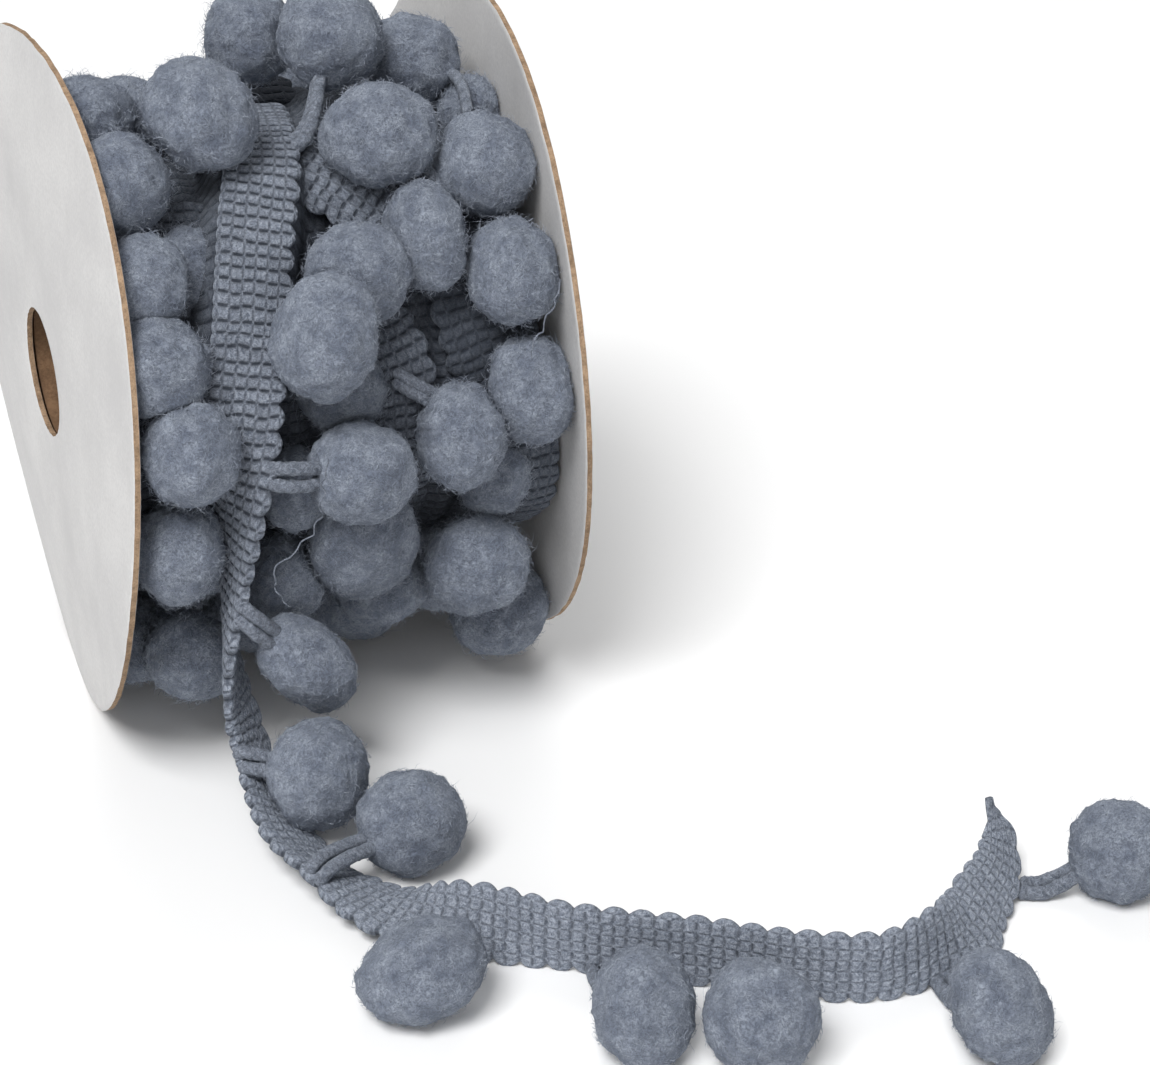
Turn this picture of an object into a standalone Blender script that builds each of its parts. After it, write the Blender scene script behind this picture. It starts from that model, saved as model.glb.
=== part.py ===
"""Pompom fringe trim on a card reel, with its loose end standing on the floor.

The reel's axis lies along X. An angle on the reel is counted from the top towards
the front, which is -Y. Sizes are in metres, and the floor is z = 0.
"""
import math

import bmesh
import bpy
import numpy as np
from mathutils import Vector

MM = 0.001

# The card reel
FLANGE_RADIUS = 50 * MM
CARD_THICK = 1.0 * MM
REEL_WIDTH = 67.0 * MM
RIM_STEPS = 48
RING_RADII = (9.4, 17.0, 33.0, 50.0)
FLAT_CARD_RADIUS = 17 * MM
FULL_LEAN_RADIUS = 30 * MM
CORE_INNER = 10.2 * MM
CORE_OUTER = 12.0 * MM
GAP = 0.35 * MM

# The centre is a little under one radius high, so that the rim has a short flat below
AXIS_HEIGHT = FLANGE_RADIUS * math.cos(math.pi / RIM_STEPS)

# How far each card leans sideways, in mm at its rim, for u across and v up the disc
CARD_LEAN = {
    "flange_left": {"uu": 0.35, "vv": 1.6, "uv": -3.8, "u": 0.15, "v": 0.35},
    "flange_right": {"uu": -1.6, "vv": 1.6, "uv": 2.1, "u": 0.0, "v": 0.1},
}

# The wound braid under the pompoms
DRUM_RADIUS = 35 * MM
DRUM_WIDTH = 60.6 * MM
DRUM_STEPS = 36
DRUM_COLUMNS = 13
DRUM_BORE = CORE_OUTER + GAP
TURN_PITCH = 11.5 * MM
TURN_GROOVE = 1.2 * MM

# The braid
BRAID_WIDTH = 10.5 * MM
BRAID_THICK = 1.7 * MM
SCALLOP_PITCH = 3.56 * MM
SCALLOP_DEPTH = 0.8 * MM
BRAID_CLEAR = 0.8 * MM
POMPOM_CLEAR = 1.1 * MM

# The yarn loops that hold the pompoms
LOOP_YARN_RADIUS = 0.95 * MM
LOOP_SPREAD = 1.15 * MM
LOOP_REACH = 3.5 * MM
LOOP_ARCH = 4.0 * MM
ROOT_RADIUS = 1.4 * MM

# The stretch of the loose end that still lies on the reel:
# angle in degrees, x in mm, radius in mm, and the braid's turn about its own line in degrees
ON_REEL = (
    (2, -1.0, 35.8, 0),
    (12, -2.0, 37.0, 0),
    (22, -3.6, 39.6, 0),
    (34, -5.8, 42.4, 0),
    (45, -8.9, 43.4, 0),
    (55, -11.2, 43.5, 0),
    (66, -13.3, 43.5, 4),
    (76, -15.2, 43.6, 16),
    (85, -16.3, 44.0, 42),
    (94, -17.4, 44.4, 64),
)

# The free stretch: x, y, z of the middle line, then the way to the pompom edge, then width share
OFF_REEL = (
    (-18.2, -43.4, 37.5, 0.12, -1.0, 0.0, 1.0),
    (-19.7, -43.2, 24.7, -0.25, -1.0, 0.0, 1.0),
    (-19.6, -43.4, 18.2, -0.45, -0.88, 0.1, 1.0),
    (-18.9, -44.4, 12.6, -0.58, -0.8, 0.15, 1.0),
    (-18.3, -48.3, 7.5, -0.65, -0.55, 0.55, 1.0),
    (-18.2, -55.0, 4.3, -0.75, -0.25, 0.6, 1.0),
    (-17.6, -63.9, 3.3, -0.87, -0.12, 0.47, 1.0),
    (-15.7, -72.2, 3.2, -0.86, -0.2, 0.47, 1.0),
    (-13.3, -77.8, 2.6, -0.9, -0.39, 0.17, 1.0),
    (-11.0, -82.6, 2.9, -0.55, -0.83, 0.0, 1.0),
    (-7.4, -87.4, 3.5, -0.25, -0.85, -0.45, 1.0),
    (-2.0, -92.4, 4.7, -0.08, -0.5, -0.88, 1.0),
    (6.0, -99.6, 5.25, 0.0, 0.0, -1.0, 1.0),
    (14.9, -105.8, 5.25, 0.0, 0.0, -1.0, 1.0),
    (22.0, -110.3, 5.25, 0.0, 0.0, -1.0, 1.0),
    (31.0, -117.0, 5.25, 0.0, 0.0, -1.0, 1.0),
    (40.9, -121.6, 5.25, 0.0, 0.0, -1.0, 1.0),
    (49.8, -120.2, 4.9, 0.15, -0.3, -1.0, 1.0),
    (56.6, -116.6, 3.6, 0.45, -0.65, -0.75, 1.0),
    (61.2, -112.2, 3.7, 0.6, -0.5, -0.75, 0.9),
    (66.4, -107.4, 4.0, 0.6, -0.5, -0.75, 0.78),
    (69.0, -103.4, 5.4, 0.65, -0.4, -0.7, 0.62),
    (69.3, -101.4, 7.9, 0.75, -0.2, -0.55, 0.28),
    (68.8, -100.8, 9.5, 0.75, 0.0, -0.4, 0.13),
    (68.7, -100.3, 10.9, 0.75, 0.0, -0.4, 0.1),
)

# Pompoms of the loose end: the loop's root in mm along the braid,
# x, y, z of the middle in mm, half sizes across, deep and high in mm, and lean in degrees
LOOSE_POMPOMS = (
    (17, 9.4, -8.4, 97.2, 7.5, 7.2, 7.3, 0),
    (46, -4.3, -44.6, 68.6, 7.0, 6.8, 8.8, 12),
    (66, -0.8, -46.4, 48.4, 7.5, 6.9, 6.8, 20),
    (86, -9.7, -46.6, 21.0, 5.6, 6.0, 8.6, -35),
    (112, -12.4, -58.0, 10.0, 7.2, 7.1, 7.7, -8),
    (138, -3.3, -70.2, 6.9, 7.6, 7.2, 7.2, 0),
    (156, -13.0, -101.3, 6.6, 8.2, 7.0, 6.4, -20),
    (178, 8.7, -120.3, 7.2, 6.5, 7.0, 7.6, -16),
    (196, 21.4, -127.8, 7.2, 7.0, 6.9, 7.7, -18),
    (223, 49.2, -137.0, 7.2, 5.9, 6.8, 8.2, -28),
    (245, 82.0, -113.0, 6.5, 7.0, 7.0, 6.7, 0),
)

# Pompoms that show on the reel: angle in degrees, x in mm, radius of the middle in mm,
# half sizes across, deep and round the reel in mm
REEL_POMPOMS = (
    (13, -26.4, 41.0, 6.6, 6.6, 6.9),
    (6, -19.0, 38.0, 6.0, 5.6, 6.2),
    (26, -13.4, 48.2, 7.7, 7.5, 7.9),
    (-3, 1.0, 45.5, 6.7, 6.6, 6.7),
    (6, 23.4, 41.0, 7.0, 6.8, 7.0),
    (17, 29.0, 36.6, 4.4, 4.8, 5.0),
    (33, -25.8, 42.0, 7.0, 7.0, 7.4),
    (33, 10.6, 45.6, 8.0, 7.0, 7.2),
    (24, 9.0, 36.0, 5.0, 5.2, 5.4),
    (40, 25.0, 42.5, 7.0, 7.0, 7.6),
    (52, 14.2, 42.0, 5.6, 6.6, 7.3),
    (61, 25.0, 43.0, 6.5, 6.8, 7.6),
    (57, 3.6, 42.0, 7.5, 6.9, 7.0),
    (84, 26.2, 42.5, 6.0, 6.8, 7.6),
    (90, 14.8, 43.5, 6.0, 6.6, 7.9),
    (53, -25.6, 41.5, 6.2, 6.4, 6.8),
    (68, -26.2, 43.0, 6.6, 6.6, 7.2),
    (83, -24.2, 46.0, 6.4, 6.6, 7.3),
    (105, -25.6, 43.0, 6.6, 6.8, 7.3),
    (119, 17.9, 46.0, 8.0, 7.0, 7.5),
    (144, 26.5, 47.0, 7.4, 6.6, 6.8),
    (114, 2.0, 41.5, 8.2, 7.0, 9.6),
    (130, 6.5, 42.0, 6.8, 6.2, 6.4),
    (134, 16.5, 41.0, 6.2, 6.0, 6.0),
    (138, -22.0, 45.5, 6.8, 6.8, 7.4),
    (148, -28.0, 41.0, 5.4, 5.6, 6.0),
    (80, 0.0, 36.6, 6.0, 6.0, 6.4),
    (100, -7.6, 37.5, 5.0, 5.4, 6.0),
    (106, 22.0, 38.0, 5.4, 5.6, 6.0),
    (49, -17.6, 36.5, 4.4, 4.6, 5.6),
    (122, -9.5, 41.5, 6.0, 6.0, 6.4),
    (121, -20.5, 36.4, 5.2, 4.6, 5.6),
)

# Braid turns that show between the pompoms: rows of angle in degrees, x in mm, radius in mm
REEL_TURNS = (
    ((20, -6.5, 34.0), (27, -2.0, 36.4), (35, 3.8, 38.2), (43, 9.6, 37.6), (52, 15.0, 35.6)),
    ((58, 19.6, 35.0), (68, 20.0, 36.2), (78, 21.2, 36.0), (92, 22.8, 35.0)),
    ((66, 6.4, 35.4), (77, 8.4, 37.4), (90, 8.6, 37.6), (104, 8.0, 36.2), (116, 8.0, 35.0)),
    ((88, 26.4, 36.6), (100, 26.6, 39.4), (112, 26.2, 40.0), (124, 25.6, 37.4)),
    ((32, -17.6, 35.2), (46, -18.8, 36.2), (62, -19.0, 36.4), (78, -18.6, 35.6)),
)

# The share of triangles that is kept after the union of each trim
WOUND_SHARE = 0.68
LOOSE_SHARE = 0.8

# The hidden side repeats rows of pompoms, each row moved by half a place
BACK_FIRST_ANGLE = 161
BACK_LAST_ANGLE = 325
BACK_ROW_STEP = 23.0
BACK_POMPOM = 7.2 * MM
BACK_RADIUS = 40.6 * MM
LOW_CORNER_ANGLE = 310
LOW_CORNER_X = 5
LOW_CORNER_RADIUS = 34.5 * MM
LOW_CORNER_POMPOM = 5.2 * MM
BACK_COLUMNS = {0: (-24.5, -8.5, 8.5, 24.5), 1: (-17.0, 0.0, 17.0)}

COLOURS = {
    "yarn": (0.18, 0.215, 0.262),
    "braid": (0.2, 0.235, 0.285),
    "card": (0.66, 0.66, 0.66),
    "kraft": (0.2, 0.13, 0.075),
}


def clear_scene():
    """Removes what the file starts with."""
    for old in list(bpy.data.objects):
        bpy.data.objects.remove(old, do_unlink=True)


def material(name, colour, roughness):
    """A plain Principled material."""
    made = bpy.data.materials.new(name)
    made.use_nodes = True
    shader = made.node_tree.nodes["Principled BSDF"]
    shader.inputs["Base Color"].default_value = (*colour, 1.0)
    shader.inputs["Roughness"].default_value = roughness
    return made


def collection(name):
    """A new collection in the scene."""
    made = bpy.data.collections.new(name)
    bpy.context.scene.collection.children.link(made)
    return made


def add_object(name, mesh, group, finish):
    """Puts a mesh in a collection as an object with one material."""
    made = bpy.data.objects.new(name, mesh)
    group.objects.link(made)
    mesh.materials.clear()
    mesh.materials.append(finish)
    return made


def close_mesh(mesh):
    """Merges doubles, makes every face a flat triangle and turns it outwards."""
    work = bmesh.new()
    work.from_mesh(mesh)
    bmesh.ops.remove_doubles(work, verts=work.verts, dist=1e-6)
    bmesh.ops.triangulate(work, faces=work.faces)
    bmesh.ops.recalc_face_normals(work, faces=work.faces)
    work.to_mesh(mesh)
    work.free()


def turned_mesh(name, profile, steps, half_step):
    """A closed profile of (x, radius) turned about the X axis by a Screw modifier."""
    start = math.pi / steps if half_step else 0.0
    points = [(x, -r * math.sin(start), -r * math.cos(start)) for x, r in profile]
    edges = [(i, (i + 1) % len(points)) for i in range(len(points))]
    line = bpy.data.meshes.new(name + "_profile")
    line.from_pydata(points, edges, [])
    guide = bpy.data.objects.new(name + "_profile", line)
    bpy.context.scene.collection.objects.link(guide)
    screw = guide.modifiers.new("turn", "SCREW")
    screw.axis = "X"
    screw.steps = steps
    screw.render_steps = steps
    screw.use_merge_vertices = True
    screw.merge_threshold = 1e-6
    seen = guide.evaluated_get(bpy.context.evaluated_depsgraph_get())
    mesh = bpy.data.meshes.new_from_object(seen)
    mesh.name = name
    bpy.data.objects.remove(guide, do_unlink=True)
    close_mesh(mesh)
    return mesh


def read_points(mesh):
    """The mesh's points as an array of three columns."""
    flat = np.empty(len(mesh.vertices) * 3)
    mesh.vertices.foreach_get("co", flat)
    return flat.reshape(-1, 3)


def write_points(mesh, points):
    """Sets the mesh's points from an array."""
    mesh.vertices.foreach_set("co", np.ascontiguousarray(points).ravel())
    mesh.update()


def smooth_step(value):
    """0 below 0, 1 above 1, and a soft S between."""
    t = np.clip(value, 0.0, 1.0)
    return t * t * (3 - 2 * t)


def card_lean(side, y, up):
    """Sideways lean of a card at y and at height up above the axis, none at its glued middle."""
    u = y / FLANGE_RADIUS
    v = up / FLANGE_RADIUS
    lean = CARD_LEAN[side]
    wave = lean["uu"] * u * u + lean["vv"] * v * v + lean["uv"] * u * v
    wave = wave + lean["u"] * u + lean["v"] * v
    reach = np.hypot(y, up) - FLAT_CARD_RADIUS
    return wave * MM * smooth_step(reach / (FULL_LEAN_RADIUS - FLAT_CARD_RADIUS))


def inner_face(side, y, z):
    """x of a card's inner face at y and z."""
    sign = -1 if side == "flange_left" else 1
    flat = sign * (REEL_WIDTH / 2 - CARD_THICK)
    return flat + card_lean(side, y, z - AXIS_HEIGHT)


def make_flange(side, group, finish):
    """A card disc with its hub hole, gently bent and resting on a short flat of its rim."""
    sign = -1 if side == "flange_left" else 1
    outer = sign * REEL_WIDTH / 2
    inner = outer - sign * CARD_THICK
    out_line = [(outer, r * MM) for r in RING_RADII]
    in_line = [(inner, r * MM) for r in reversed(RING_RADII)]
    mesh = turned_mesh(side, out_line + in_line, RIM_STEPS, True)
    points = read_points(mesh)
    points[:, 0] += card_lean(side, points[:, 1], points[:, 2])
    points[:, 2] += AXIS_HEIGHT
    write_points(mesh, points)
    return add_object(side, mesh, group, finish)


def make_core(group, finish):
    """The card tube between the flanges."""
    half = REEL_WIDTH / 2 - CARD_THICK - GAP
    profile = [(-half, CORE_OUTER), (half, CORE_OUTER), (half, CORE_INNER), (-half, CORE_INNER)]
    mesh = turned_mesh("core_tube", profile, 32, False)
    points = read_points(mesh)
    points[:, 2] += AXIS_HEIGHT
    write_points(mesh, points)
    return add_object("core_tube", mesh, group, finish)


def on_reel(angle, x, radius):
    """World place of an angle in degrees, an x and a radius on the reel."""
    turn = math.radians(angle)
    return Vector((x, -radius * math.sin(turn), AXIS_HEIGHT + radius * math.cos(turn)))


def smooth_rows(rows, spacing):
    """Rows of numbers read from a Catmull-Rom curve, evenly spaced along its first three."""
    rows = np.array(rows, dtype=float)
    ends = np.vstack([2 * rows[0] - rows[1], rows, 2 * rows[-1] - rows[-2]])
    t = np.linspace(0.0, 1.0, 24, endpoint=False)[:, None]
    pieces = []
    for i in range(len(rows) - 1):
        a, b, c, d = ends[i : i + 4]
        pieces.append(
            0.5 * (2 * b + (c - a) * t + (2 * a - 5 * b + 4 * c - d) * t**2
                   + (3 * b - a - 3 * c + d) * t**3)
        )
    fine = np.vstack(pieces + [rows[-1:]])
    steps = np.linalg.norm(np.diff(fine[:, :3], axis=0), axis=1)
    along = np.concatenate([[0.0], np.cumsum(steps)])
    count = max(2, int(round(along[-1] / spacing)))
    even = np.linspace(0.0, along[-1], count + 1)
    return np.stack([np.interp(even, along, fine[:, k]) for k in range(rows.shape[1])], axis=1), even


def unit(rows):
    """Each row at length one."""
    return rows / np.linalg.norm(rows, axis=1, keepdims=True)


def ribbon_frame(rows):
    """Middle line, way along, way to the pompom edge and face normal at each row."""
    middle = rows[:, :3]
    along = unit(np.gradient(middle, axis=0))
    side = rows[:, 3:6]
    side = side - along * np.sum(side * along, axis=1, keepdims=True)
    side = unit(side)
    return middle, along, side, np.cross(along, side)


def loose_rows():
    """Rows of the loose end: middle, way to the pompom edge, width share."""
    rows = []
    for angle, x, radius, turn in ON_REEL:
        place = on_reel(angle, x * MM, radius * MM)
        lean = math.radians(turn)
        front = math.radians(angle)
        outward = Vector((0, -math.sin(front), math.cos(front)))
        side = Vector((math.cos(lean), 0, 0)) + outward * math.sin(lean)
        rows.append((*place, *side, 1.0))
    for x, y, z, sx, sy, sz, share in OFF_REEL:
        rows.append((x * MM, y * MM, z * MM, sx, sy, sz, share))
    return rows


def ribbon_mesh(name, rows, even, scalloped):
    """A braid of flat section carried along its rows, its edges in scallops."""
    middle, along, side, normal = ribbon_frame(rows)
    wave = 0.5 - 0.5 * np.cos(2 * math.pi * even / SCALLOP_PITCH)
    half = BRAID_WIDTH / 2 - (SCALLOP_DEPTH * wave if scalloped else 0.0)
    half = half * rows[:, 6]
    thick = np.full(len(rows), BRAID_THICK / 2)
    corners = ((-1, -1), (1, -1), (1, 1), (-1, 1))
    rings = [
        middle + side * (across * half)[:, None] + normal * (deep * thick)[:, None]
        for across, deep in corners
    ]
    points = np.stack(rings, axis=1)
    points[:, :, 2] = np.maximum(points[:, :, 2], 0.0)
    count, sides = points.shape[:2]
    faces = []
    for i in range(count - 1):
        for j in range(sides):
            k = (j + 1) % sides
            faces.append((i * sides + j, i * sides + k, (i + 1) * sides + k, (i + 1) * sides + j))
    faces.append(tuple(reversed(range(sides))))
    faces.append(tuple((count - 1) * sides + j for j in range(sides)))
    mesh = bpy.data.meshes.new(name)
    mesh.from_pydata(points.reshape(-1, 3).tolist(), [], faces)
    close_mesh(mesh)
    return mesh


def lumps(ways, seed):
    """Soft uneven swelling of a pompom, from three waves whose places follow from seed."""
    first = np.sin(2.1 * ways[:, 0] + 1.7 * seed) * np.cos(1.9 * ways[:, 1] - seed)
    second = np.sin(2.7 * ways[:, 2] + 2.3 * seed + ways[:, 0])
    return 1.0 + 0.045 * first + 0.035 * second


def ball_mesh(name, middle, halves, frame, seed):
    """A squashed, slightly uneven ball; frame holds its across, deep and high directions."""
    work = bmesh.new()
    bmesh.ops.create_icosphere(work, subdivisions=2, radius=1.0)
    mesh = bpy.data.meshes.new(name)
    work.to_mesh(mesh)
    work.free()
    ways = read_points(mesh)
    swollen = ways * lumps(ways, seed)[:, None] * np.array(halves)
    write_points(mesh, swollen @ np.array(frame) + np.array(middle))
    return mesh


def part_balls(points, middle, reach, other, other_reach):
    """Presses one ball flat where it would come through a neighbour, leaving the gap."""
    way = np.array(other) - np.array(middle)
    distance = np.linalg.norm(way)
    if distance >= reach + other_reach + POMPOM_CLEAR:
        return points
    way = way / distance
    limit = (distance + reach - other_reach - POMPOM_CLEAR) / 2
    depth = (points - middle) @ way
    over = np.maximum(depth - limit, 0.0)
    return points - over[:, None] * way


def clear_ribbon(points, middle, ribbon, clear):
    """Pushes a ball's points back to its own side of the loose braid."""
    line, along, side, normal = ribbon
    gaps = np.linalg.norm(points[:, None, :] - line[None, :, :], axis=2)
    near = np.argmin(gaps, axis=1)
    offset = points - line[near]
    across = np.sum(offset * side[near], axis=1)
    deep = np.sum(offset * normal[near], axis=1)
    home = np.argmin(np.linalg.norm(line - middle, axis=1))
    own = 1.0 if (middle - line[home]) @ normal[home] >= 0 else -1.0
    floor = BRAID_THICK / 2 + clear
    reach = BRAID_WIDTH / 2 + 1.4 * BRAID_CLEAR
    beside = np.abs(np.sum(offset * along[near], axis=1)) < SCALLOP_PITCH
    meets = beside & (np.abs(across) < reach) & (np.abs(deep) < BRAID_WIDTH)
    pushed = np.where(meets, np.maximum(floor - own * deep, 0.0), 0.0)
    return points + (own * pushed)[:, None] * normal[near]


def inside_reel(points, gap):
    """Keeps points between the two cards, a gap away from each."""
    y, z = points[:, 1], points[:, 2]
    low = inner_face("flange_left", y, z) + gap
    high = inner_face("flange_right", y, z) - gap
    points[:, 0] = np.clip(points[:, 0], low, high)
    return points


def yarn_line(start, bend, end, shift):
    """A bent line of five points from start to end, moved by shift and kept off the floor."""
    t = np.linspace(0.0, 1.0, 5)[:, None]
    line = (1 - t) ** 2 * start + 2 * t * (1 - t) * bend + t**2 * end + shift
    line[:, 2] = np.maximum(line[:, 2], LOOP_YARN_RADIUS + 0.15 * MM)
    return line


def yarn_mesh(name, line, radius):
    """A four-sided strand of yarn along a line of points."""
    along = unit(np.gradient(line, axis=0))
    first = unit(np.cross(along, np.array([0.13, 0.31, 0.94])))
    second = np.cross(along, first)
    points = np.stack(
        [line + radius * (math.cos(a) * first + math.sin(a) * second)
         for a in (math.pi * k / 2 + 0.4 for k in range(4))], axis=1)
    faces = []
    for i in range(len(line) - 1):
        for j in range(4):
            k = (j + 1) % 4
            faces.append((i * 4 + j, i * 4 + k, (i + 1) * 4 + k, (i + 1) * 4 + j))
    faces.append((3, 2, 1, 0))
    last = (len(line) - 1) * 4
    faces.append((last, last + 1, last + 2, last + 3))
    mesh = bpy.data.meshes.new(name)
    mesh.from_pydata(points.reshape(-1, 3).tolist(), [], faces)
    close_mesh(mesh)
    return mesh


def drop_loose(mesh):
    """Removes edges and points that no face uses."""
    work = bmesh.new()
    work.from_mesh(mesh)
    bmesh.ops.delete(work, geom=[e for e in work.edges if not e.link_faces], context="EDGES")
    bmesh.ops.delete(work, geom=[v for v in work.verts if not v.link_faces], context="VERTS")
    work.to_mesh(mesh)
    work.free()


def fuse(base, pieces, group_name, kept_share):
    """Joins pieces to a base object as one closed body, and thins the union's slivers."""
    group = collection(group_name)
    for number, mesh in enumerate(pieces):
        tool = bpy.data.objects.new(f"{group_name}_{number:02d}", mesh)
        group.objects.link(tool)
    union = base.modifiers.new("fuse", "BOOLEAN")
    union.operation = "UNION"
    union.operand_type = "COLLECTION"
    union.collection = group
    union.solver = "EXACT"
    thin = base.modifiers.new("thin", "DECIMATE")
    thin.ratio = kept_share
    seen = base.evaluated_get(bpy.context.evaluated_depsgraph_get())
    mesh = bpy.data.meshes.new_from_object(seen)
    base.modifiers.clear()
    drop_loose(mesh)
    base.data = mesh
    for tool in list(group.objects):
        bpy.data.objects.remove(tool, do_unlink=True)
    bpy.data.collections.remove(group)


def drum_radius(angle, x, ribbon):
    """Radius of the wound braid: slanting turns, and a hump that carries the loose end."""
    turn = (x + TURN_PITCH * angle / 360.0) / TURN_PITCH
    groove = TURN_GROOVE * np.cos(2 * math.pi * turn) ** 2
    swell = 1.4 * MM * np.sin(np.radians(3 * angle + 9000 * x))
    radius = DRUM_RADIUS + swell - groove
    line = ribbon[0]
    line_radius = np.hypot(line[:, 1], line[:, 2] - AXIS_HEIGHT)
    line_angle = np.degrees(np.arctan2(-line[:, 1], line[:, 2] - AXIS_HEIGHT))
    use = (line_angle > -5) & (line_angle < 72) & (line_radius < 46 * MM)
    under = np.interp(angle, line_angle[use], line_radius[use]) - BRAID_THICK / 2 - BRAID_CLEAR
    beside = np.abs(x - np.interp(angle, line_angle[use], line[use, 0]))
    hump = smooth_step((9.0 * MM - beside) / (3.5 * MM))
    near = smooth_step((angle + 6) / 8) * smooth_step((78 - angle) / 10)
    return radius + (under - radius) * hump * near


def make_wound(group, finish, ribbon, loose_balls):
    """The wound trim: a turned ring of braid, its raised turns and its pompoms, in one body."""
    half = DRUM_WIDTH / 2
    columns = np.linspace(-half, half, DRUM_COLUMNS)
    profile = [(x, DRUM_RADIUS) for x in columns] + [(half, DRUM_BORE), (-half, DRUM_BORE)]
    mesh = turned_mesh("wound_trim", profile, DRUM_STEPS, False)
    points = read_points(mesh)
    radius = np.hypot(points[:, 1], points[:, 2])
    angle = np.degrees(np.arctan2(-points[:, 1], points[:, 2]))
    outer = radius > (DRUM_BORE + DRUM_RADIUS) / 2
    wanted = np.where(outer, drum_radius(angle, points[:, 0], ribbon), radius)
    points[:, 1:] *= (wanted / radius)[:, None]
    points[:, 2] += AXIS_HEIGHT
    write_points(mesh, inside_reel(points, GAP))
    drum = add_object("wound_trim", mesh, group, finish)
    pieces = []
    for number, turn in enumerate(REEL_TURNS):
        rows = []
        for a, x, r in turn:
            rows.append((*on_reel(a, x * MM, r * MM), 1.0, 0.0, 0.0, 1.0))
        fine, even = smooth_rows(rows, SCALLOP_PITCH)
        middle, along, _, _ = ribbon_frame(fine)
        out = middle - np.array([0, 0, AXIS_HEIGHT])
        out[:, 0] = 0.0
        fine[:, 3:6] = np.cross(unit(out), along)
        strip = ribbon_mesh(f"turn_{number}", fine, even, False)
        write_points(strip, inside_reel(read_points(strip), GAP * (1.3 + 0.1 * number)))
        pieces.append(strip)
    places = list(REEL_POMPOMS)
    row = 0
    angle = BACK_FIRST_ANGLE
    while angle <= BACK_LAST_ANGLE:
        for x in BACK_COLUMNS[row % 2]:
            low = angle > LOW_CORNER_ANGLE and x < LOW_CORNER_X
            radius = (LOW_CORNER_RADIUS if low else BACK_RADIUS) / MM
            wander = 3.5 * math.sin(2.3 * row + 0.4 * x)
            size = (LOW_CORNER_POMPOM if low else BACK_POMPOM) / MM
            size *= 1 + 0.06 * math.sin(1.7 * row + x)
            places.append((angle + wander, x + 0.4 * wander, radius, size, size * 0.95, size))
        row += 1
        angle += BACK_ROW_STEP
    for number, (a, x, r, across, deep, round_it) in enumerate(places):
        middle = np.array(on_reel(a, x * MM, r * MM))
        front = math.radians(a)
        frame = (
            (1, 0, 0),
            (0, -math.sin(front), math.cos(front)),
            (0, -math.cos(front), -math.sin(front)),
        )
        halves = (across * MM, deep * MM, round_it * MM)
        ball = ball_mesh(f"ball_{number}", middle, halves, frame, number)
        points = read_points(ball)
        for other, other_reach in loose_balls:
            points = part_balls(points, middle, max(halves), other, other_reach)
        uneven = 1.15 + 0.17 * (number % 5)
        points = clear_ribbon(points, middle, ribbon, BRAID_CLEAR * uneven)
        write_points(ball, inside_reel(points, GAP * uneven))
        pieces.append(ball)
        if r - deep > DRUM_RADIUS / MM - 2.5:
            foot = np.array(on_reel(a, x * MM, DRUM_RADIUS - 3 * MM))
            root = np.array([foot, (foot + middle) / 2, middle])
            pieces.append(yarn_mesh(f"root_{number}", root, ROOT_RADIUS))
    fuse(drum, pieces, "wound_pieces", WOUND_SHARE)
    return drum


def make_loose(group, finish, rows, even, ribbon):
    """The loose end: scalloped braid with its yarn loops and pompoms fused at their roots."""
    middle, _, side, normal = ribbon
    strip = add_object("loose_trim", ribbon_mesh("loose_trim", rows, even, True), group, finish)
    pieces = []
    balls = []
    for number, (root, x, y, z, across, deep, high, lean) in enumerate(LOOSE_POMPOMS):
        centre = np.array((x, y, z)) * MM
        tilt = math.radians(lean)
        frame = (
            (math.cos(tilt), 0, -math.sin(tilt)),
            (0, 1, 0),
            (math.sin(tilt), 0, math.cos(tilt)),
        )
        halves = (across * MM, deep * MM, high * MM)
        ball = ball_mesh(f"loose_ball_{number}", centre, halves, frame, number + 0.5)
        points = read_points(ball)
        points[:, 2] = np.maximum(points[:, 2], 0.0)
        write_points(ball, points)
        pieces.append(ball)
        balls.append((centre, max(halves)))
        at = int(np.argmin(np.abs(even - root * MM)))
        edge = middle[at] + side[at] * (BRAID_WIDTH / 2 - 1.6 * MM)
        way = (centre - edge) / np.linalg.norm(centre - edge)
        end = centre - way * 4.5 * MM
        folded = max(0.0, -(way @ side[at]))
        arch = normal[at] * math.copysign(folded * LOOP_ARCH, way @ normal[at])
        bend = edge + side[at] * LOOP_REACH * (1 - 0.6 * folded) + arch
        spread = np.gradient(middle, axis=0)[at]
        spread = spread / np.linalg.norm(spread) * LOOP_SPREAD
        for sign in (-1, 1):
            line = yarn_line(edge, bend, end, sign * spread)
            pieces.append(yarn_mesh(f"yarn_{number}_{sign}", line, LOOP_YARN_RADIUS))
    fuse(strip, pieces, "loose_pieces", LOOSE_SHARE)
    return strip, balls


def stand_on_origin(root, parts):
    """Moves the parent so that the middle of the whole part's footprint is the origin."""
    places = np.vstack([read_points(part.data) for part in parts])
    middle = (places.min(axis=0) + places.max(axis=0)) / 2
    root.location = (-middle[0], -middle[1], 0.0)


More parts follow.
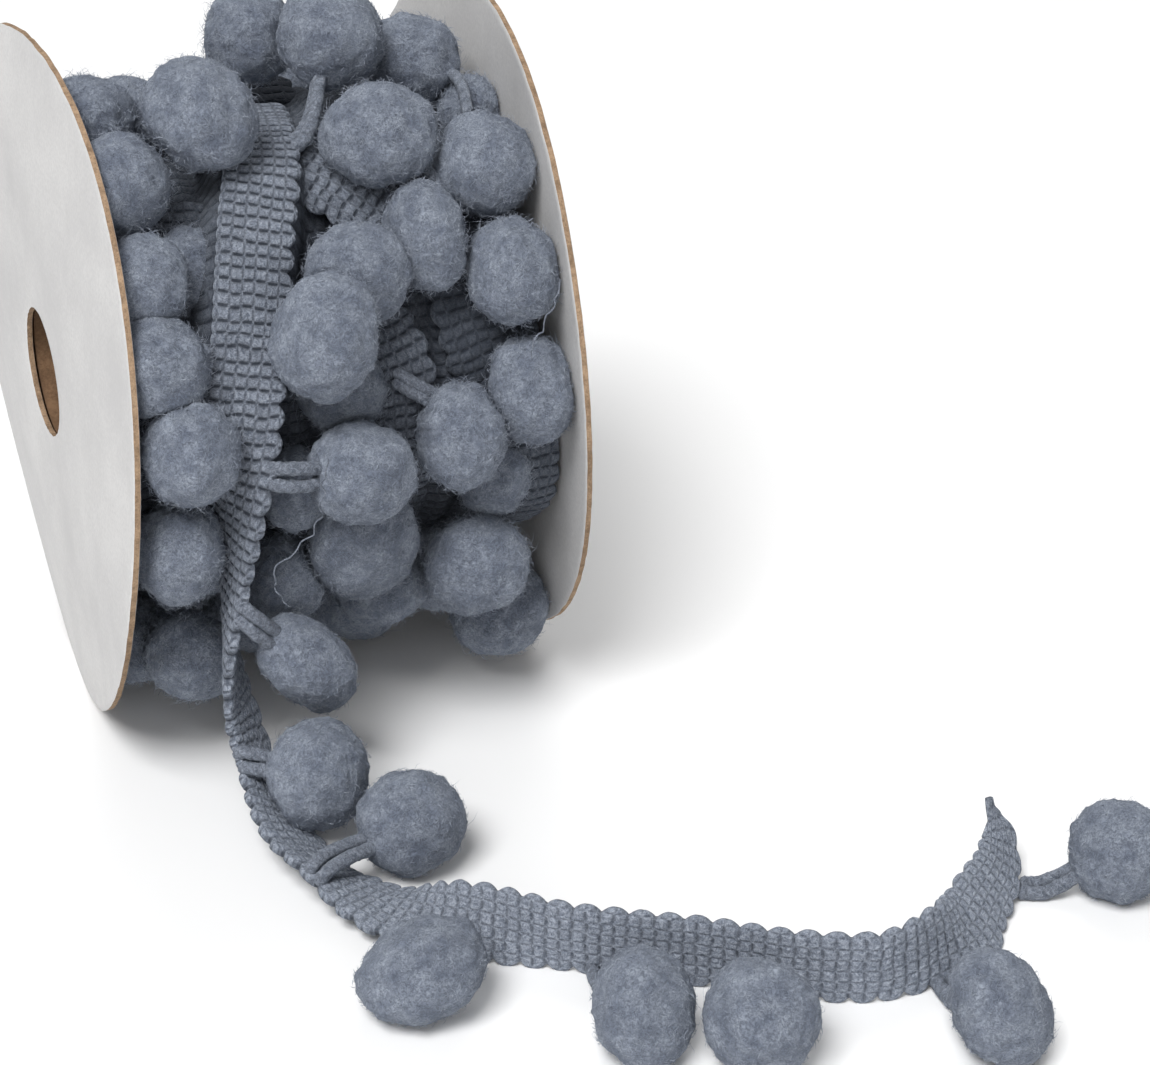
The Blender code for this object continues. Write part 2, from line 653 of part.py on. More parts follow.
def main():
    clear_scene()
    group = collection("pompom_trim")
    yarn = material("slate wool yarn", COLOURS["yarn"], 0.95)
    braid = material("slate cotton braid", COLOURS["braid"], 0.9)
    card = material("white faced card", COLOURS["card"], 0.7)
    kraft = material("kraft board", COLOURS["kraft"], 0.9)
    rows, even = smooth_rows(loose_rows(), SCALLOP_PITCH / 2)
    ribbon = ribbon_frame(rows)
    loose, balls = make_loose(group, braid, rows, even, ribbon)
    parts = [
        make_flange("flange_left", group, card),
        make_flange("flange_right", group, card),
        make_core(group, kraft),
        make_wound(group, yarn, ribbon, balls),
        loose,
    ]
    root = bpy.data.objects.new("pompom_trim_frame", None)
    group.objects.link(root)
    for part in parts:
        part.parent = root
        part.data.shade_smooth()
        part.data.set_sharp_from_angle(angle=math.radians(35))
    stand_on_origin(root, parts)


main()
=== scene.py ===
"""Looks of a pompom fringe trim on its card reel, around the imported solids.

The reel's own frame is used throughout: its axis lies along X at y = 0, an angle on it is
counted from the top (+Z) towards the front (-Y), lengths in the tables are in millimetres,
and the floor is z = 0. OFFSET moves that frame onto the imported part.
"""
import math

import bpy
import numpy as np
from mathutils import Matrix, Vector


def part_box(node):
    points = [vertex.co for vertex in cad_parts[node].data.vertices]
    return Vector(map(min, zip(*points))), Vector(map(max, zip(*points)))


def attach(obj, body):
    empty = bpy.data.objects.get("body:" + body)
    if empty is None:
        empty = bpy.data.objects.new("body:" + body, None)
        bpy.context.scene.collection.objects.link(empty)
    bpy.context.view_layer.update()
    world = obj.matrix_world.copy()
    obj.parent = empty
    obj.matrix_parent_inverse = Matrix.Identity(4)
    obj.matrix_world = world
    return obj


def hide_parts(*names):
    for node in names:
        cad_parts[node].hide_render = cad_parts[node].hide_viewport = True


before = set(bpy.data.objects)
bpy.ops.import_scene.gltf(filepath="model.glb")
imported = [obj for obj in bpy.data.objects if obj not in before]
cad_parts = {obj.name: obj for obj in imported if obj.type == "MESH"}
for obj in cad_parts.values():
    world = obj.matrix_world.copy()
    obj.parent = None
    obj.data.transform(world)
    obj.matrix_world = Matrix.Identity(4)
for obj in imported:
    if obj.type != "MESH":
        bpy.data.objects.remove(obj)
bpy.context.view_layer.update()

MM = 0.001
TUBE_LOW, TUBE_HIGH = (np.array(corner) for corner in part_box("core_tube"))
OFFSET = (TUBE_LOW + TUBE_HIGH) / 2 * np.array([1, 1, 0])

# The card reel
CARD_RADIUS = 50.0
HOLE_RADIUS = 9.4
CARD_THICK = 1.0
REEL_WIDTH = 67.0
CARD_FLAT_RADIUS = 17.0
CARD_FULL_LEAN = 30.0
TUBE_INNER = 10.2
TUBE_OUTER = 12.0
GLUE_GAP = 0.35
CUT_BEVEL = 0.12
RIM_ROUGH_BAND = 0.4
HOLE_ROUGH_BAND = 0.5

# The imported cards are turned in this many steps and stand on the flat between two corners
RIM_STEPS = 48
AXIS_HEIGHT = CARD_RADIUS * math.cos(math.pi / RIM_STEPS)

# How far each card leans sideways, in mm at its rim, for u across and v up the disc
CARD_LEAN = {
    -1: {"uu": 0.35, "vv": 1.6, "uv": -3.8, "u": 0.15, "v": 0.35},
    1: {"uu": -1.6, "vv": 1.6, "uv": 2.1, "u": 0.0, "v": 0.1},
}

# The braid: ribs across it, rows of stitches along it, and a scallop for every two ribs
BRAID_WIDTH = 10.5
BRAID_THICK = 1.7
RIB_PITCH = 1.78
ROW_PITCH = 1.65
SCALLOP_PITCH = 3.56
SCALLOP_DEPTH = 1.0
NUB_DEPTH = 0.22
RELIEF = 0.5
BRAID_CLEAR = 0.8
EDGE_FLUFF = 0.15

# Powers of the braid's section: how square its corners are and how full its faces
SECTION_SQUARE = 2.78
SECTION_FULL = 0.17

# How far along the loose end its plain edge has small bumps in place of scallops, and the
# stretch over which the scallops come back
SMOOTH_UNTIL = 95.0
SMOOTH_FADE = 12.0

# Fineness of the braid's grid: mm between its rows, and columns on each face
LOOSE_STEP = 0.27
LOOSE_COLUMNS = 36
TURN_STEP = 0.36
TURN_COLUMNS = 22
CURVE_STEPS = 24

# How dark the painted shade in the pits between the knots is on the two faces of the braid
OUTER_PIT_SHADE = 0.62
INNER_PIT_SHADE = 0.26

# The wound roll
DRUM_RADIUS = 35.0
DRUM_WIDTH = 60.6
DRUM_BORE = 12.35
TURN_PITCH = 11.5
DRUM_GROOVE = 1.2
DRUM_SWELL = 1.4

# The hump of the roll under the loose end: half width and slope in mm, and the angles where
# it rises and falls
HUMP_HALF = 9.0
HUMP_SLOPE = 3.5
HUMP_RISE = (-6, 8)
HUMP_FALL = (78, 10)

# How far the pieces keep off the floor and off the cards at least
BRAID_LIFT = 0.02
HAIR_LIFT = 0.03
BALL_LIFT = 0.05
YARN_LIFT = 0.12
HAIR_CARD_GAP = 0.15
BALL_CARD_GAP = 0.45
TURN_CARD_GAP = 0.5

# The stretch of the loose end that lies on the reel:
# angle in degrees, x, radius, and the braid's turn about its own line in degrees
ON_REEL = (
    (2, -1.0, 35.8, 0), (12, -2.0, 37.0, 0), (22, -3.6, 39.6, 0), (34, -5.8, 42.4, 0),
    (45, -8.9, 43.4, 0), (55, -11.2, 43.5, 0), (66, -13.3, 43.5, 4), (76, -15.2, 43.6, 16),
    (85, -16.3, 44.0, 42), (94, -17.4, 44.4, 64),
)

# The free stretch: x, y, z of the middle line, the way to the pompom edge, and width share
OFF_REEL = (
    (-18.2, -43.4, 37.5, 0.12, -1.0, 0.0, 1.0),
    (-19.7, -43.2, 24.7, -0.25, -1.0, 0.0, 1.0),
    (-19.6, -43.4, 18.2, -0.45, -0.88, 0.1, 1.0),
    (-18.9, -44.4, 12.6, -0.58, -0.8, 0.15, 1.0),
    (-18.3, -48.3, 7.5, -0.65, -0.55, 0.55, 1.0),
    (-18.2, -55.0, 4.3, -0.75, -0.25, 0.6, 1.0),
    (-17.6, -63.9, 3.3, -0.87, -0.12, 0.47, 1.0),
    (-15.7, -72.2, 3.2, -0.86, -0.2, 0.47, 1.0),
    (-13.3, -77.8, 2.6, -0.9, -0.39, 0.17, 1.0),
    (-11.0, -82.6, 2.9, -0.55, -0.83, 0.0, 1.0),
    (-7.4, -87.4, 3.5, -0.25, -0.85, -0.45, 1.0),
    (-2.0, -92.4, 4.7, -0.08, -0.5, -0.88, 1.0),
    (6.0, -99.6, 5.25, 0.0, 0.0, -1.0, 1.0),
    (14.9, -105.8, 5.25, 0.0, 0.0, -1.0, 1.0),
    (22.0, -110.3, 5.25, 0.0, 0.0, -1.0, 1.0),
    (31.0, -117.0, 5.25, 0.0, 0.0, -1.0, 1.0),
    (40.9, -121.6, 5.25, 0.0, 0.0, -1.0, 1.0),
    (49.8, -120.2, 4.9, 0.15, -0.3, -1.0, 1.0),
    (56.6, -116.6, 3.6, 0.45, -0.65, -0.75, 1.0),
    (61.2, -112.2, 3.7, 0.6, -0.5, -0.75, 0.9),
    (66.4, -107.4, 4.0, 0.6, -0.5, -0.75, 0.78),
    (69.0, -103.4, 5.4, 0.65, -0.4, -0.7, 0.62),
    (69.3, -101.4, 7.9, 0.75, -0.2, -0.55, 0.28),
    (68.8, -100.8, 9.5, 0.75, 0.0, -0.4, 0.13),
    (68.7, -100.3, 10.9, 0.75, 0.0, -0.4, 0.1),
)

# Pompoms of the loose end: the loop's root along the braid, x, y, z of the middle,
# half sizes across, deep and high, and lean in degrees
LOOSE_POMPOMS = (
    (17, 9.4, -8.4, 97.2, 7.5, 7.2, 7.3, 0),
    (46, -4.3, -44.6, 68.6, 7.0, 6.8, 8.8, 12),
    (66, -0.8, -46.4, 48.4, 7.5, 6.9, 6.8, 20),
    (86, -9.7, -46.6, 21.0, 5.6, 6.0, 8.6, -35),
    (112, -12.4, -58.0, 10.0, 7.2, 7.1, 7.7, -8),
    (138, -3.3, -70.2, 6.9, 7.6, 7.2, 7.2, 0),
    (156, -13.0, -101.3, 6.6, 8.2, 7.0, 6.4, -20),
    (178, 8.7, -120.3, 7.2, 6.5, 7.0, 7.6, -16),
    (196, 21.4, -127.8, 7.2, 7.0, 6.9, 7.7, -18),
    (223, 49.2, -137.0, 7.2, 5.9, 6.8, 8.2, -28),
    (245, 82.0, -113.0, 6.5, 7.0, 7.0, 6.7, 0),
)

# Pompoms that show on the reel: angle in degrees, x, radius of the middle,
# half sizes across, deep and round the reel
REEL_POMPOMS = (
    (13, -26.4, 41.0, 6.6, 6.6, 6.9), (6, -19.0, 38.0, 6.0, 5.6, 6.2),
    (26, -13.4, 48.2, 7.7, 7.5, 7.9), (-3, 1.0, 45.5, 6.7, 6.6, 6.7),
    (6, 23.4, 41.0, 7.0, 6.8, 7.0), (17, 29.0, 36.6, 4.4, 4.8, 5.0),
    (33, -25.8, 42.0, 7.0, 7.0, 7.4), (33, 10.6, 45.6, 8.0, 7.0, 7.2),
    (24, 9.0, 36.0, 5.0, 5.2, 5.4), (40, 25.0, 42.5, 7.0, 7.0, 7.6),
    (52, 14.2, 42.0, 5.6, 6.6, 7.3), (61, 25.0, 43.0, 6.5, 6.8, 7.6),
    (57, 3.6, 42.0, 7.5, 6.9, 7.0), (84, 26.2, 42.5, 6.0, 6.8, 7.6),
    (90, 14.8, 43.5, 6.0, 6.6, 7.9), (53, -25.6, 41.5, 6.2, 6.4, 6.8),
    (68, -26.2, 43.0, 6.6, 6.6, 7.2), (83, -24.2, 46.0, 6.4, 6.6, 7.3),
    (105, -25.6, 43.0, 6.6, 6.8, 7.3), (119, 17.9, 46.0, 8.0, 7.0, 7.5),
    (144, 26.5, 47.0, 7.4, 6.6, 6.8), (114, 2.0, 41.5, 8.2, 7.0, 9.6),
    (130, 6.5, 42.0, 6.8, 6.2, 6.4), (134, 16.5, 41.0, 6.2, 6.0, 6.0),
    (138, -22.0, 45.5, 6.8, 6.8, 7.4), (148, -28.0, 41.0, 5.4, 5.6, 6.0),
    (80, 0.0, 36.6, 6.0, 6.0, 6.4), (100, -7.6, 37.5, 5.0, 5.4, 6.0),
    (106, 22.0, 38.0, 5.4, 5.6, 6.0), (49, -17.6, 36.5, 4.4, 4.6, 5.6),
    (122, -9.5, 41.5, 6.0, 6.0, 6.4), (121, -20.5, 36.4, 5.2, 4.6, 5.6),
)

# Braid turns that show between the pompoms: rows of angle in degrees, x and radius
REEL_TURNS = (
    ((15, -9.5, 34.6), (24, -4.8, 37.0), (33, 1.6, 38.6), (42, 8.4, 38.2), (52, 14.8, 35.6)),
    ((58, 19.6, 35.0), (68, 20.0, 36.2), (78, 21.2, 36.0), (92, 22.8, 35.0)),
    ((66, 6.4, 35.4), (77, 8.4, 37.4), (90, 8.6, 37.6), (104, 8.0, 36.2), (116, 8.0, 35.0)),
    ((88, 26.4, 36.6), (100, 26.6, 39.4), (112, 26.2, 40.0), (124, 25.6, 37.4)),
    ((32, -17.6, 35.2), (46, -18.8, 36.2), (62, -19.0, 36.4), (78, -18.6, 35.6)),
    ((-38, 1.0, 34.4), (-29, 2.4, 36.0), (-19, 3.4, 36.7), (-12, 3.2, 36.2), (-5, 2.8, 34.4)),
)

# Painted shade: how much of its light top each raised turn and the roll under them keep, darker down in the
# pile between the pompoms
TURN_LIGHT_UNDER_PAINTED_SHADE = (0.9, 0.34, 0.62, 0.5, 0.5, 0.2)
DRUM_LIGHT_UNDER_PAINTED_SHADE = 0.3

# The hidden side: rows of pompoms, each moved by half a place
BACK_FIRST_ANGLE = 161
BACK_LAST_ANGLE = 325
BACK_ROW_STEP = 23.0
BACK_POMPOM = 7.2
BACK_RADIUS = 40.6
LOW_CORNER_ANGLE = 310
LOW_CORNER_X = 5
LOW_CORNER_RADIUS = 34.5
LOW_CORNER_POMPOM = 5.2
BACK_COLUMNS = {0: (-24.5, -8.5, 8.5, 24.5), 1: (-17.0, 0.0, 17.0)}

# The yarn loops that hold the pompoms
YARN_RADIUS = 0.95
LOOP_SPREAD = 1.0
LOOP_REACH = 3.5
LOOP_ARCH = 4.0
LOOP_IN_BRAID = 1.2
LOOP_TO_MIDDLE = 4.5
REEL_YARN_RADIUS = 0.9 * YARN_RADIUS
YARN_SIDES = 14
YARN_STEP = 0.3
PLY_TWIST = 2.6

# Yarn loops that show between the turns and the pompoms on the reel, and two thin stray
# threads that hang over the pompoms: rows of angle in degrees, x and radius
REEL_LOOPS = (
    ((79, 7.0, 38.6), (81.5, 9.4, 41.0), (84, 11.6, 41.6), (87.5, 13.4, 41.0)),
    ((77, 7.4, 38.4), (79.5, 9.6, 40.8), (82, 12.0, 41.4), (85, 13.8, 41.0)),
    ((8, 25.2, 38.0), (13, 27.0, 41.0), (20, 26.8, 42.4), (28, 25.6, 42.6)),
    ((32, 14.0, 39.4), (36, 15.4, 41.6), (40, 17.2, 42.4), (44, 18.6, 42.0)),
)
STRAY_THREADS = (
    ((84, -7.4, 53.6), (87, -8.4, 54.2), (92.6, -9.5, 54.6), (96, -12.4, 54.8),
     (100, -15.9, 55.2), (103, -15.6, 55.8), (106, -14.0, 56.2)),
    ((64, 28.8, 50.3), (67.5, 28.0, 50.5), (70.8, 25.6, 50.4), (74, 23.5, 50.6), (76, 23.2, 50.2)),
)
THREAD_RADIUS = 0.11
THREAD_SIDES = 6
THREAD_STEP = 0.4
THREAD_CROOK = 0.35
THREAD_CROOK_SIZE = 2.2

# The pompoms' dents: depth and size in mm, and the seed of each
DENTS = ((0.26, 6.2, 11), (0.13, 2.4, 12), (0.07, 1.0, 13))
DENT_SHIFT = 37.0
PRESS_GAP = 1.1
BALL_CLEAR = 1.0

# The hairs: least and most length, rise off the felt and thickness, of the matted pile and of
# the long strays
PILE_LENGTH = (0.5, 1.5)
PILE_RISE = (0.3, 1.0)
PILE_RADIUS = (0.026, 0.045)
STRAY_LENGTH = (1.3, 3.2)
STRAY_RISE = (0.2, 1.3)
STRAY_RADIUS = 0.021
HAIR_ROOT = 0.12

# Sizes in mm of the felt's clouds and matted fibres, and of the yarn's curls
FELT_CLOUD = 2.6
FELT_FIBRE = 0.45
YARN_CURL = 0.6

# The camera, fitted to the rims of both cards, in the reel's frame
CAMERA_PLACE = (-109.4, -380.0, 222.3)
CAMERA_RIGHT_DEG = 22.79
CAMERA_DOWN_DEG = 27.62
CAMERA_LENS = 89.92
SENSOR_WIDTH = 36.0

# The white paper under the reel, half its side in metres, and the soft light of the room
FLOOR_HALF = 2.5
ROOM_LIGHT = 0.25

# The softboxes: name, place in metres, side of the square in metres, and power in watts
SOFTBOXES = (
    ("key softbox", (-1.15, -1.05, 2.3), 1.25, 76.0),
    ("fill softbox", (-0.45, -1.25, 0.55), 1.0, 4.5),
    ("back softbox", (0.6, 1.3, 1.5), 1.2, 12.0),
)


# Shapes worked out as arrays

def unit(rows):
    """Each row at length one."""
    return rows / np.linalg.norm(rows, axis=-1, keepdims=True)


def smooth_step(value):
    """0 below 0, 1 above 1, and a soft S between."""
    t = np.clip(value, 0.0, 1.0)
    return t * t * (3 - 2 * t)


def soft_noise(points, size, seed, count=22):
    """Plane sine waves of about one size in scattered directions, added up to about -1 to 1."""
    draw = np.random.default_rng(seed)
    ways = unit(draw.normal(size=(count, 3))) * (2 * math.pi / size)
    ways = ways * draw.uniform(0.75, 1.35, (count, 1))
    phases = draw.uniform(0.0, 2 * math.pi, count)
    return np.sin(points @ ways.T + phases).sum(axis=-1) / math.sqrt(count)


def pillow(t, power):
    """1 on most of each whole step of t, falling to 0 in a groove at its ends."""
    return 1.0 - np.abs(2 * (t - np.floor(t)) - 1) ** power


def on_reel(angle, x, radius):
    """Place of an angle in degrees, an x and a radius on the reel."""
    turn = np.radians(angle)
    return np.array([x, -radius * np.sin(turn), AXIS_HEIGHT + radius * np.cos(turn)])


def card_lean(sign, y, up):
    """Sideways lean of a card: a saddle in u and v that starts outside its glued middle."""
    u = y / CARD_RADIUS
    v = up / CARD_RADIUS
    lean = CARD_LEAN[sign]
    wave = lean["uu"] * u * u + lean["vv"] * v * v + lean["uv"] * u * v
    wave = wave + lean["u"] * u + lean["v"] * v
    reach = np.hypot(y, up) - CARD_FLAT_RADIUS
    return wave * smooth_step(reach / (CARD_FULL_LEAN - CARD_FLAT_RADIUS))


def inside_reel(points, gap):
    """Keeps points between the two cards, a gap away from each."""
    up = points[..., 2] - AXIS_HEIGHT
    inner = REEL_WIDTH / 2 - CARD_THICK - gap
    low = -inner + card_lean(-1, points[..., 1], up)
    high = inner + card_lean(1, points[..., 1], up)
    points[..., 0] = np.clip(points[..., 0], low, high)
    return points


def smooth_rows(rows, spacing):
    """Rows read from a Catmull-Rom curve, evenly spaced along their first three columns."""
    rows = np.array(rows, dtype=float)
    ends = np.vstack([2 * rows[0] - rows[1], rows, 2 * rows[-1] - rows[-2]])
    t = np.linspace(0.0, 1.0, CURVE_STEPS, endpoint=False)[:, None]
    pieces = []
    for i in range(len(rows) - 1):
        a, b, c, d = ends[i : i + 4]
        bend = (2 * a - 5 * b + 4 * c - d) * t**2 + (3 * b - a - 3 * c + d) * t**3
        pieces.append(0.5 * (2 * b + (c - a) * t + bend))
    fine = np.vstack(pieces + [rows[-1:]])
    steps = np.linalg.norm(np.diff(fine[:, :3], axis=0), axis=1)
    along = np.concatenate([[0.0], np.cumsum(steps)])
    even = np.linspace(0.0, along[-1], max(3, int(round(along[-1] / spacing)) + 1))
    return np.stack([np.interp(even, along, column) for column in fine.T], axis=1), even


def ribbon_frame(rows):
    """Middle line, way along, way to the pompom edge and face normal at each row."""
    middle = rows[:, :3]
    along = unit(np.gradient(middle, axis=0))
    side = rows[:, 3:6]
    side = unit(side - along * np.sum(side * along, axis=1, keepdims=True))
    return middle, along, side, np.cross(along, side)


def loose_rows():
    """Rows of the loose end: middle, way to the pompom edge, width share."""
    rows = []
    for angle, x, radius, turn in ON_REEL:
        lean = math.radians(turn)
        outward = on_reel(angle, 0.0, 1.0) - on_reel(angle, 0.0, 0.0)
        side = np.array([math.cos(lean), 0, 0]) + outward * math.sin(lean)
        rows.append((*on_reel(angle, x, radius), *side, 1.0))
    return rows + list(OFF_REEL)


def turn_rows(turn):
    """Rows of one raised turn of braid, which lies flat round the reel."""
    rows = [(*on_reel(a, x, r), 1.0, 0.0, 0.0, 1.0) for a, x, r in turn]
    fine, even = smooth_rows(rows, TURN_STEP)
    along = unit(np.gradient(fine[:, :3], axis=0))
    out = fine[:, :3] - np.array([0, 0, AXIS_HEIGHT])
    out[:, 0] = 0.0
    fine[:, 3:6] = np.cross(unit(out), along)
    return fine, even


def stitches(even, across, seed):
    """Relief of the braid from 0 in its grooves to 1, and each point's count of ribs, count of
    rows and share of pit: rounded knots in rows and ribs. The groove between two ribs is a
    deep pit at the middle of each knot and shallower where the rows meet, the line between
    two rows is finer, and each knot is a little higher or lower than the next."""
    wander = 0.07 * soft_noise(np.stack([even, across, 0 * even], axis=-1), 5.0, seed)
    row = across / ROW_PITCH + 0.5 * wander
    rib = even / RIB_PITCH + wander + 0.06 * np.sin(2.4 * np.floor(row) + seed)
    whole = np.stack([np.floor(rib), np.floor(row), 0 * rib], axis=-1)
    uneven = 0.92 + 0.11 * soft_noise(whole, 1.9, seed + 1)
    middle = smooth_step((pillow(row, 2.0) - 0.1) / 0.5)
    groove = (1 - pillow(rib, 3.0)) * (0.1 + 0.85 * middle)
    line = 0.34 * (1 - pillow(row, 3.4)) * pillow(rib, 1.6)
    counts = np.stack([rib, row, np.full(rib.shape, OUTER_PIT_SHADE)], axis=-1)
    return np.clip((1 - groove) * uneven - line, 0.0, 1.0), counts


def braid_rings(rows, even, columns, seed, smooth_until=0.0):
    """Closed section of braid at each row: across runs from edge to edge over one face and back over the
    other, round at both edges, in and out with the scallops, and raised by the stitches of each face. Up to
    smooth_until mm the plain edge has one small bump for each rib, as where it lies on the reel. Returns the
    points, how light each is as painted shade (darker in the grooves, more so on the outer face, and lighter
    towards the edges), and its counts with the share of painted pit shade of its face."""
    middle, _, side, normal = ribbon_frame(rows)
    scallop = 1 - np.abs(np.sin(math.pi * even / SCALLOP_PITCH)) ** 0.85
    nubs = 1 - np.abs(np.sin(math.pi * even / RIB_PITCH))
    laid = smooth_step((smooth_until - even) / SMOOTH_FADE)
    plain = SCALLOP_DEPTH * scallop * (1 - laid) + NUB_DEPTH * nubs * laid
    share = np.linspace(-1.0, 1.0, columns, endpoint=False)
    face = share * (1.4 - 0.4 * share * share)
    flat = np.concatenate([-face, face])
    thick = (1 - np.abs(flat) ** SECTION_SQUARE) ** SECTION_FULL * np.repeat([1.0, -1.0], columns)
    depth = np.where(flat[None, :] > 0, (SCALLOP_DEPTH * scallop)[:, None], plain[:, None])
    half = (BRAID_WIDTH / 2 + EDGE_FLUFF - depth) * rows[:, 6:7]
    across = half * flat[None, :]
    length = np.broadcast_to(even[:, None], across.shape)
    raised, counts = stitches(length, across / rows[:, 6:7], seed)
    counts[..., 2] = np.where(thick > 0, OUTER_PIT_SHADE, INNER_PIT_SHADE)[None, :]
    raised = raised * np.abs(thick)[None, :]
    edge = 1 - np.abs(thick)[None, :]
    # Painted shade: darker in the grooves between the knots, down to 0 on the outer face and to 0.45 on the
    # inner one, and lighter towards the edges
    painted_lightness = np.where(thick[None, :] > 0, 0.76 * raised, 0.45 + 0.45 * raised)
    light = np.clip(painted_lightness + edge * (0.75 - 0.6 * scallop[:, None]), 0.0, 1.0)
    thin = np.minimum(1.0, 0.35 + 0.65 * rows[:, 6])[:, None]
    deep = thick[None, :] * (BRAID_THICK / 2 - RELIEF / 2 + RELIEF * raised) * thin
    points = middle[:, None, :] + side[:, None, :] * across[..., None]
    points = points + normal[:, None, :] * deep[..., None]
    return points, light, counts


def tube_rings(line, radius, sides, seed):
    """Rings of a yarn along a line: round, uneven by soft noise, with two plies that twist, and drawn in to
    a tip at the ends. How light each point is carries painted shade, darker in its dents and between its
    plies. Its counts of one half draw no pit and no seam."""
    along = unit(np.gradient(line, axis=0))
    first = unit(np.cross(along, np.array([0.13, 0.31, 0.94])))
    second = np.cross(along, first)
    turn = np.linspace(0.0, 2 * math.pi, sides, endpoint=False)
    ring = np.cos(turn)[None, :, None] * first[:, None, :]
    ring = ring + np.sin(turn)[None, :, None] * second[:, None, :]
    number = np.arange(len(line))
    ends = np.sqrt(np.clip(np.minimum(number, number[::-1]) / 2, 0.05, 1))
    bumpy = soft_noise(line[:, None, :] + ring * radius, 0.75, seed)
    run = np.cumsum(np.linalg.norm(np.diff(line, axis=0, prepend=line[:1]), axis=1))
    ply = np.cos(2 * turn[None, :] - PLY_TWIST * run[:, None])
    wide = radius * ends[:, None] * (1 + 0.07 * bumpy + 0.02 * ply)
    points = line[:, None, :] + ring * wide[..., None]
    # Painted shade: the lightness follows the dents and the groove between the plies
    return points, np.clip(0.6 + 0.14 * bumpy + 0.06 * ply, 0.0, 1.0), np.full(points.shape, 0.5)


def ball_grid(steps):
    """Unit ball: latitude rows by twice as many longitudes, and a point at each pole."""
    theta = np.linspace(0.0, math.pi, steps + 1)[1:-1]
    phi = np.linspace(0.0, 2 * math.pi, 2 * steps, endpoint=False)
    theta, phi = np.meshgrid(theta, phi, indexing="ij")
    ways = np.stack([np.sin(theta) * np.cos(phi), np.sin(theta) * np.sin(phi), np.cos(theta)], axis=-1)
    ways = np.vstack([ways.reshape(-1, 3), [[0, 0, 1], [0, 0, -1]]])
    rows, columns = steps - 1, 2 * steps
    i, j = np.meshgrid(np.arange(rows - 1), np.arange(columns), indexing="ij")
    k = (j + 1) % columns
    near, far = i * columns, (i + 1) * columns
    quads = np.stack([near + j, far + j, far + k, near + k], axis=-1)
    j = np.arange(columns)
    k = (j + 1) % columns
    top = np.stack([np.full(columns, rows * columns), j, k], axis=-1)
    last = (rows - 1) * columns
    bottom = np.stack([np.full(columns, rows * columns + 1), last + k, last + j], axis=-1)
    return ways, quads.reshape(-1, 4), np.vstack([top, bottom])


def lumps(ways, seed):
    """Soft uneven swelling of a pompom, from three waves whose places follow from seed."""
    first = np.sin(2.1 * ways[:, 0] + 1.7 * seed) * np.cos(1.9 * ways[:, 1] - seed)
    second = np.sin(2.7 * ways[:, 2] + 2.3 * seed + ways[:, 0])
    return 1.0 + 0.045 * first + 0.035 * second


def clear_ribbon(points, middle, ribbon, clear):
    """Pushes a ball's points back to its own side of the loose braid."""
    line, along, side, normal = ribbon
    gaps = np.linalg.norm(points[:, None, :] - line[None, :, :], axis=2)
    near = np.argmin(gaps, axis=1)
    offset = points - line[near]
    across = np.sum(offset * side[near], axis=1)
    deep = np.sum(offset * normal[near], axis=1)
    home = np.argmin(np.linalg.norm(line - middle, axis=1))
    own = 1.0 if (middle - line[home]) @ normal[home] >= 0 else -1.0
    reach = BRAID_WIDTH / 2 + 1.4 * BRAID_CLEAR
    beside = np.abs(np.sum(offset * along[near], axis=1)) < SCALLOP_PITCH
    meets = beside & (np.abs(across) < reach) & (np.abs(deep) < BRAID_WIDTH)
    pushed = np.where(meets, np.maximum(BRAID_THICK / 2 + clear - own * deep, 0.0), 0.0)
    return points + (own * pushed)[:, None] * normal[near]


class Pompom:
    """One felted ball: its middle, half sizes, directions and the balls that press on it."""

    def __init__(self, middle, halves, directions, seed, loose):
        self.middle = np.array(middle, dtype=float)
        self.halves = np.array(halves, dtype=float)
        self.directions = np.array(directions, dtype=float)
        self.seed = seed
        self.loose = loose
        self.pressing = []

    def surface(self, ways, ribbon):
        """Points of the ball for unit directions: an ellipsoid with soft lumps, dents of three
        sizes, flats where neighbours press, kept off the braid, the cards and the floor."""
        shape = ways * lumps(ways, self.seed)[:, None] * self.halves
        place = shape + DENT_SHIFT * self.seed
        dents = sum(depth * soft_noise(place, size, seed) for depth, size, seed in DENTS)
        points = shape @ self.directions + self.middle
        out = unit((ways / self.halves) @ self.directions)
        points = points + out * dents[:, None]
        for other in self.pressing:
            way = other.middle - self.middle
            distance = np.linalg.norm(way)
            reach, other_reach = self.halves.max(), other.halves.max()
            gap = PRESS_GAP if self.loose != other.loose else 0.0
            if distance < reach + other_reach + gap:
                way = way / distance
                limit = (distance + reach - other_reach - gap) / 2
                depth = (points - self.middle) @ way
                points = points - np.maximum(depth - limit, 0.0)[:, None] * way
        if self.loose:
            points[:, 2] = np.maximum(points[:, 2], BALL_LIFT)
            return points, out
        points = clear_ribbon(points, self.middle, ribbon, BALL_CLEAR)
        return inside_reel(points, BALL_CARD_GAP), out


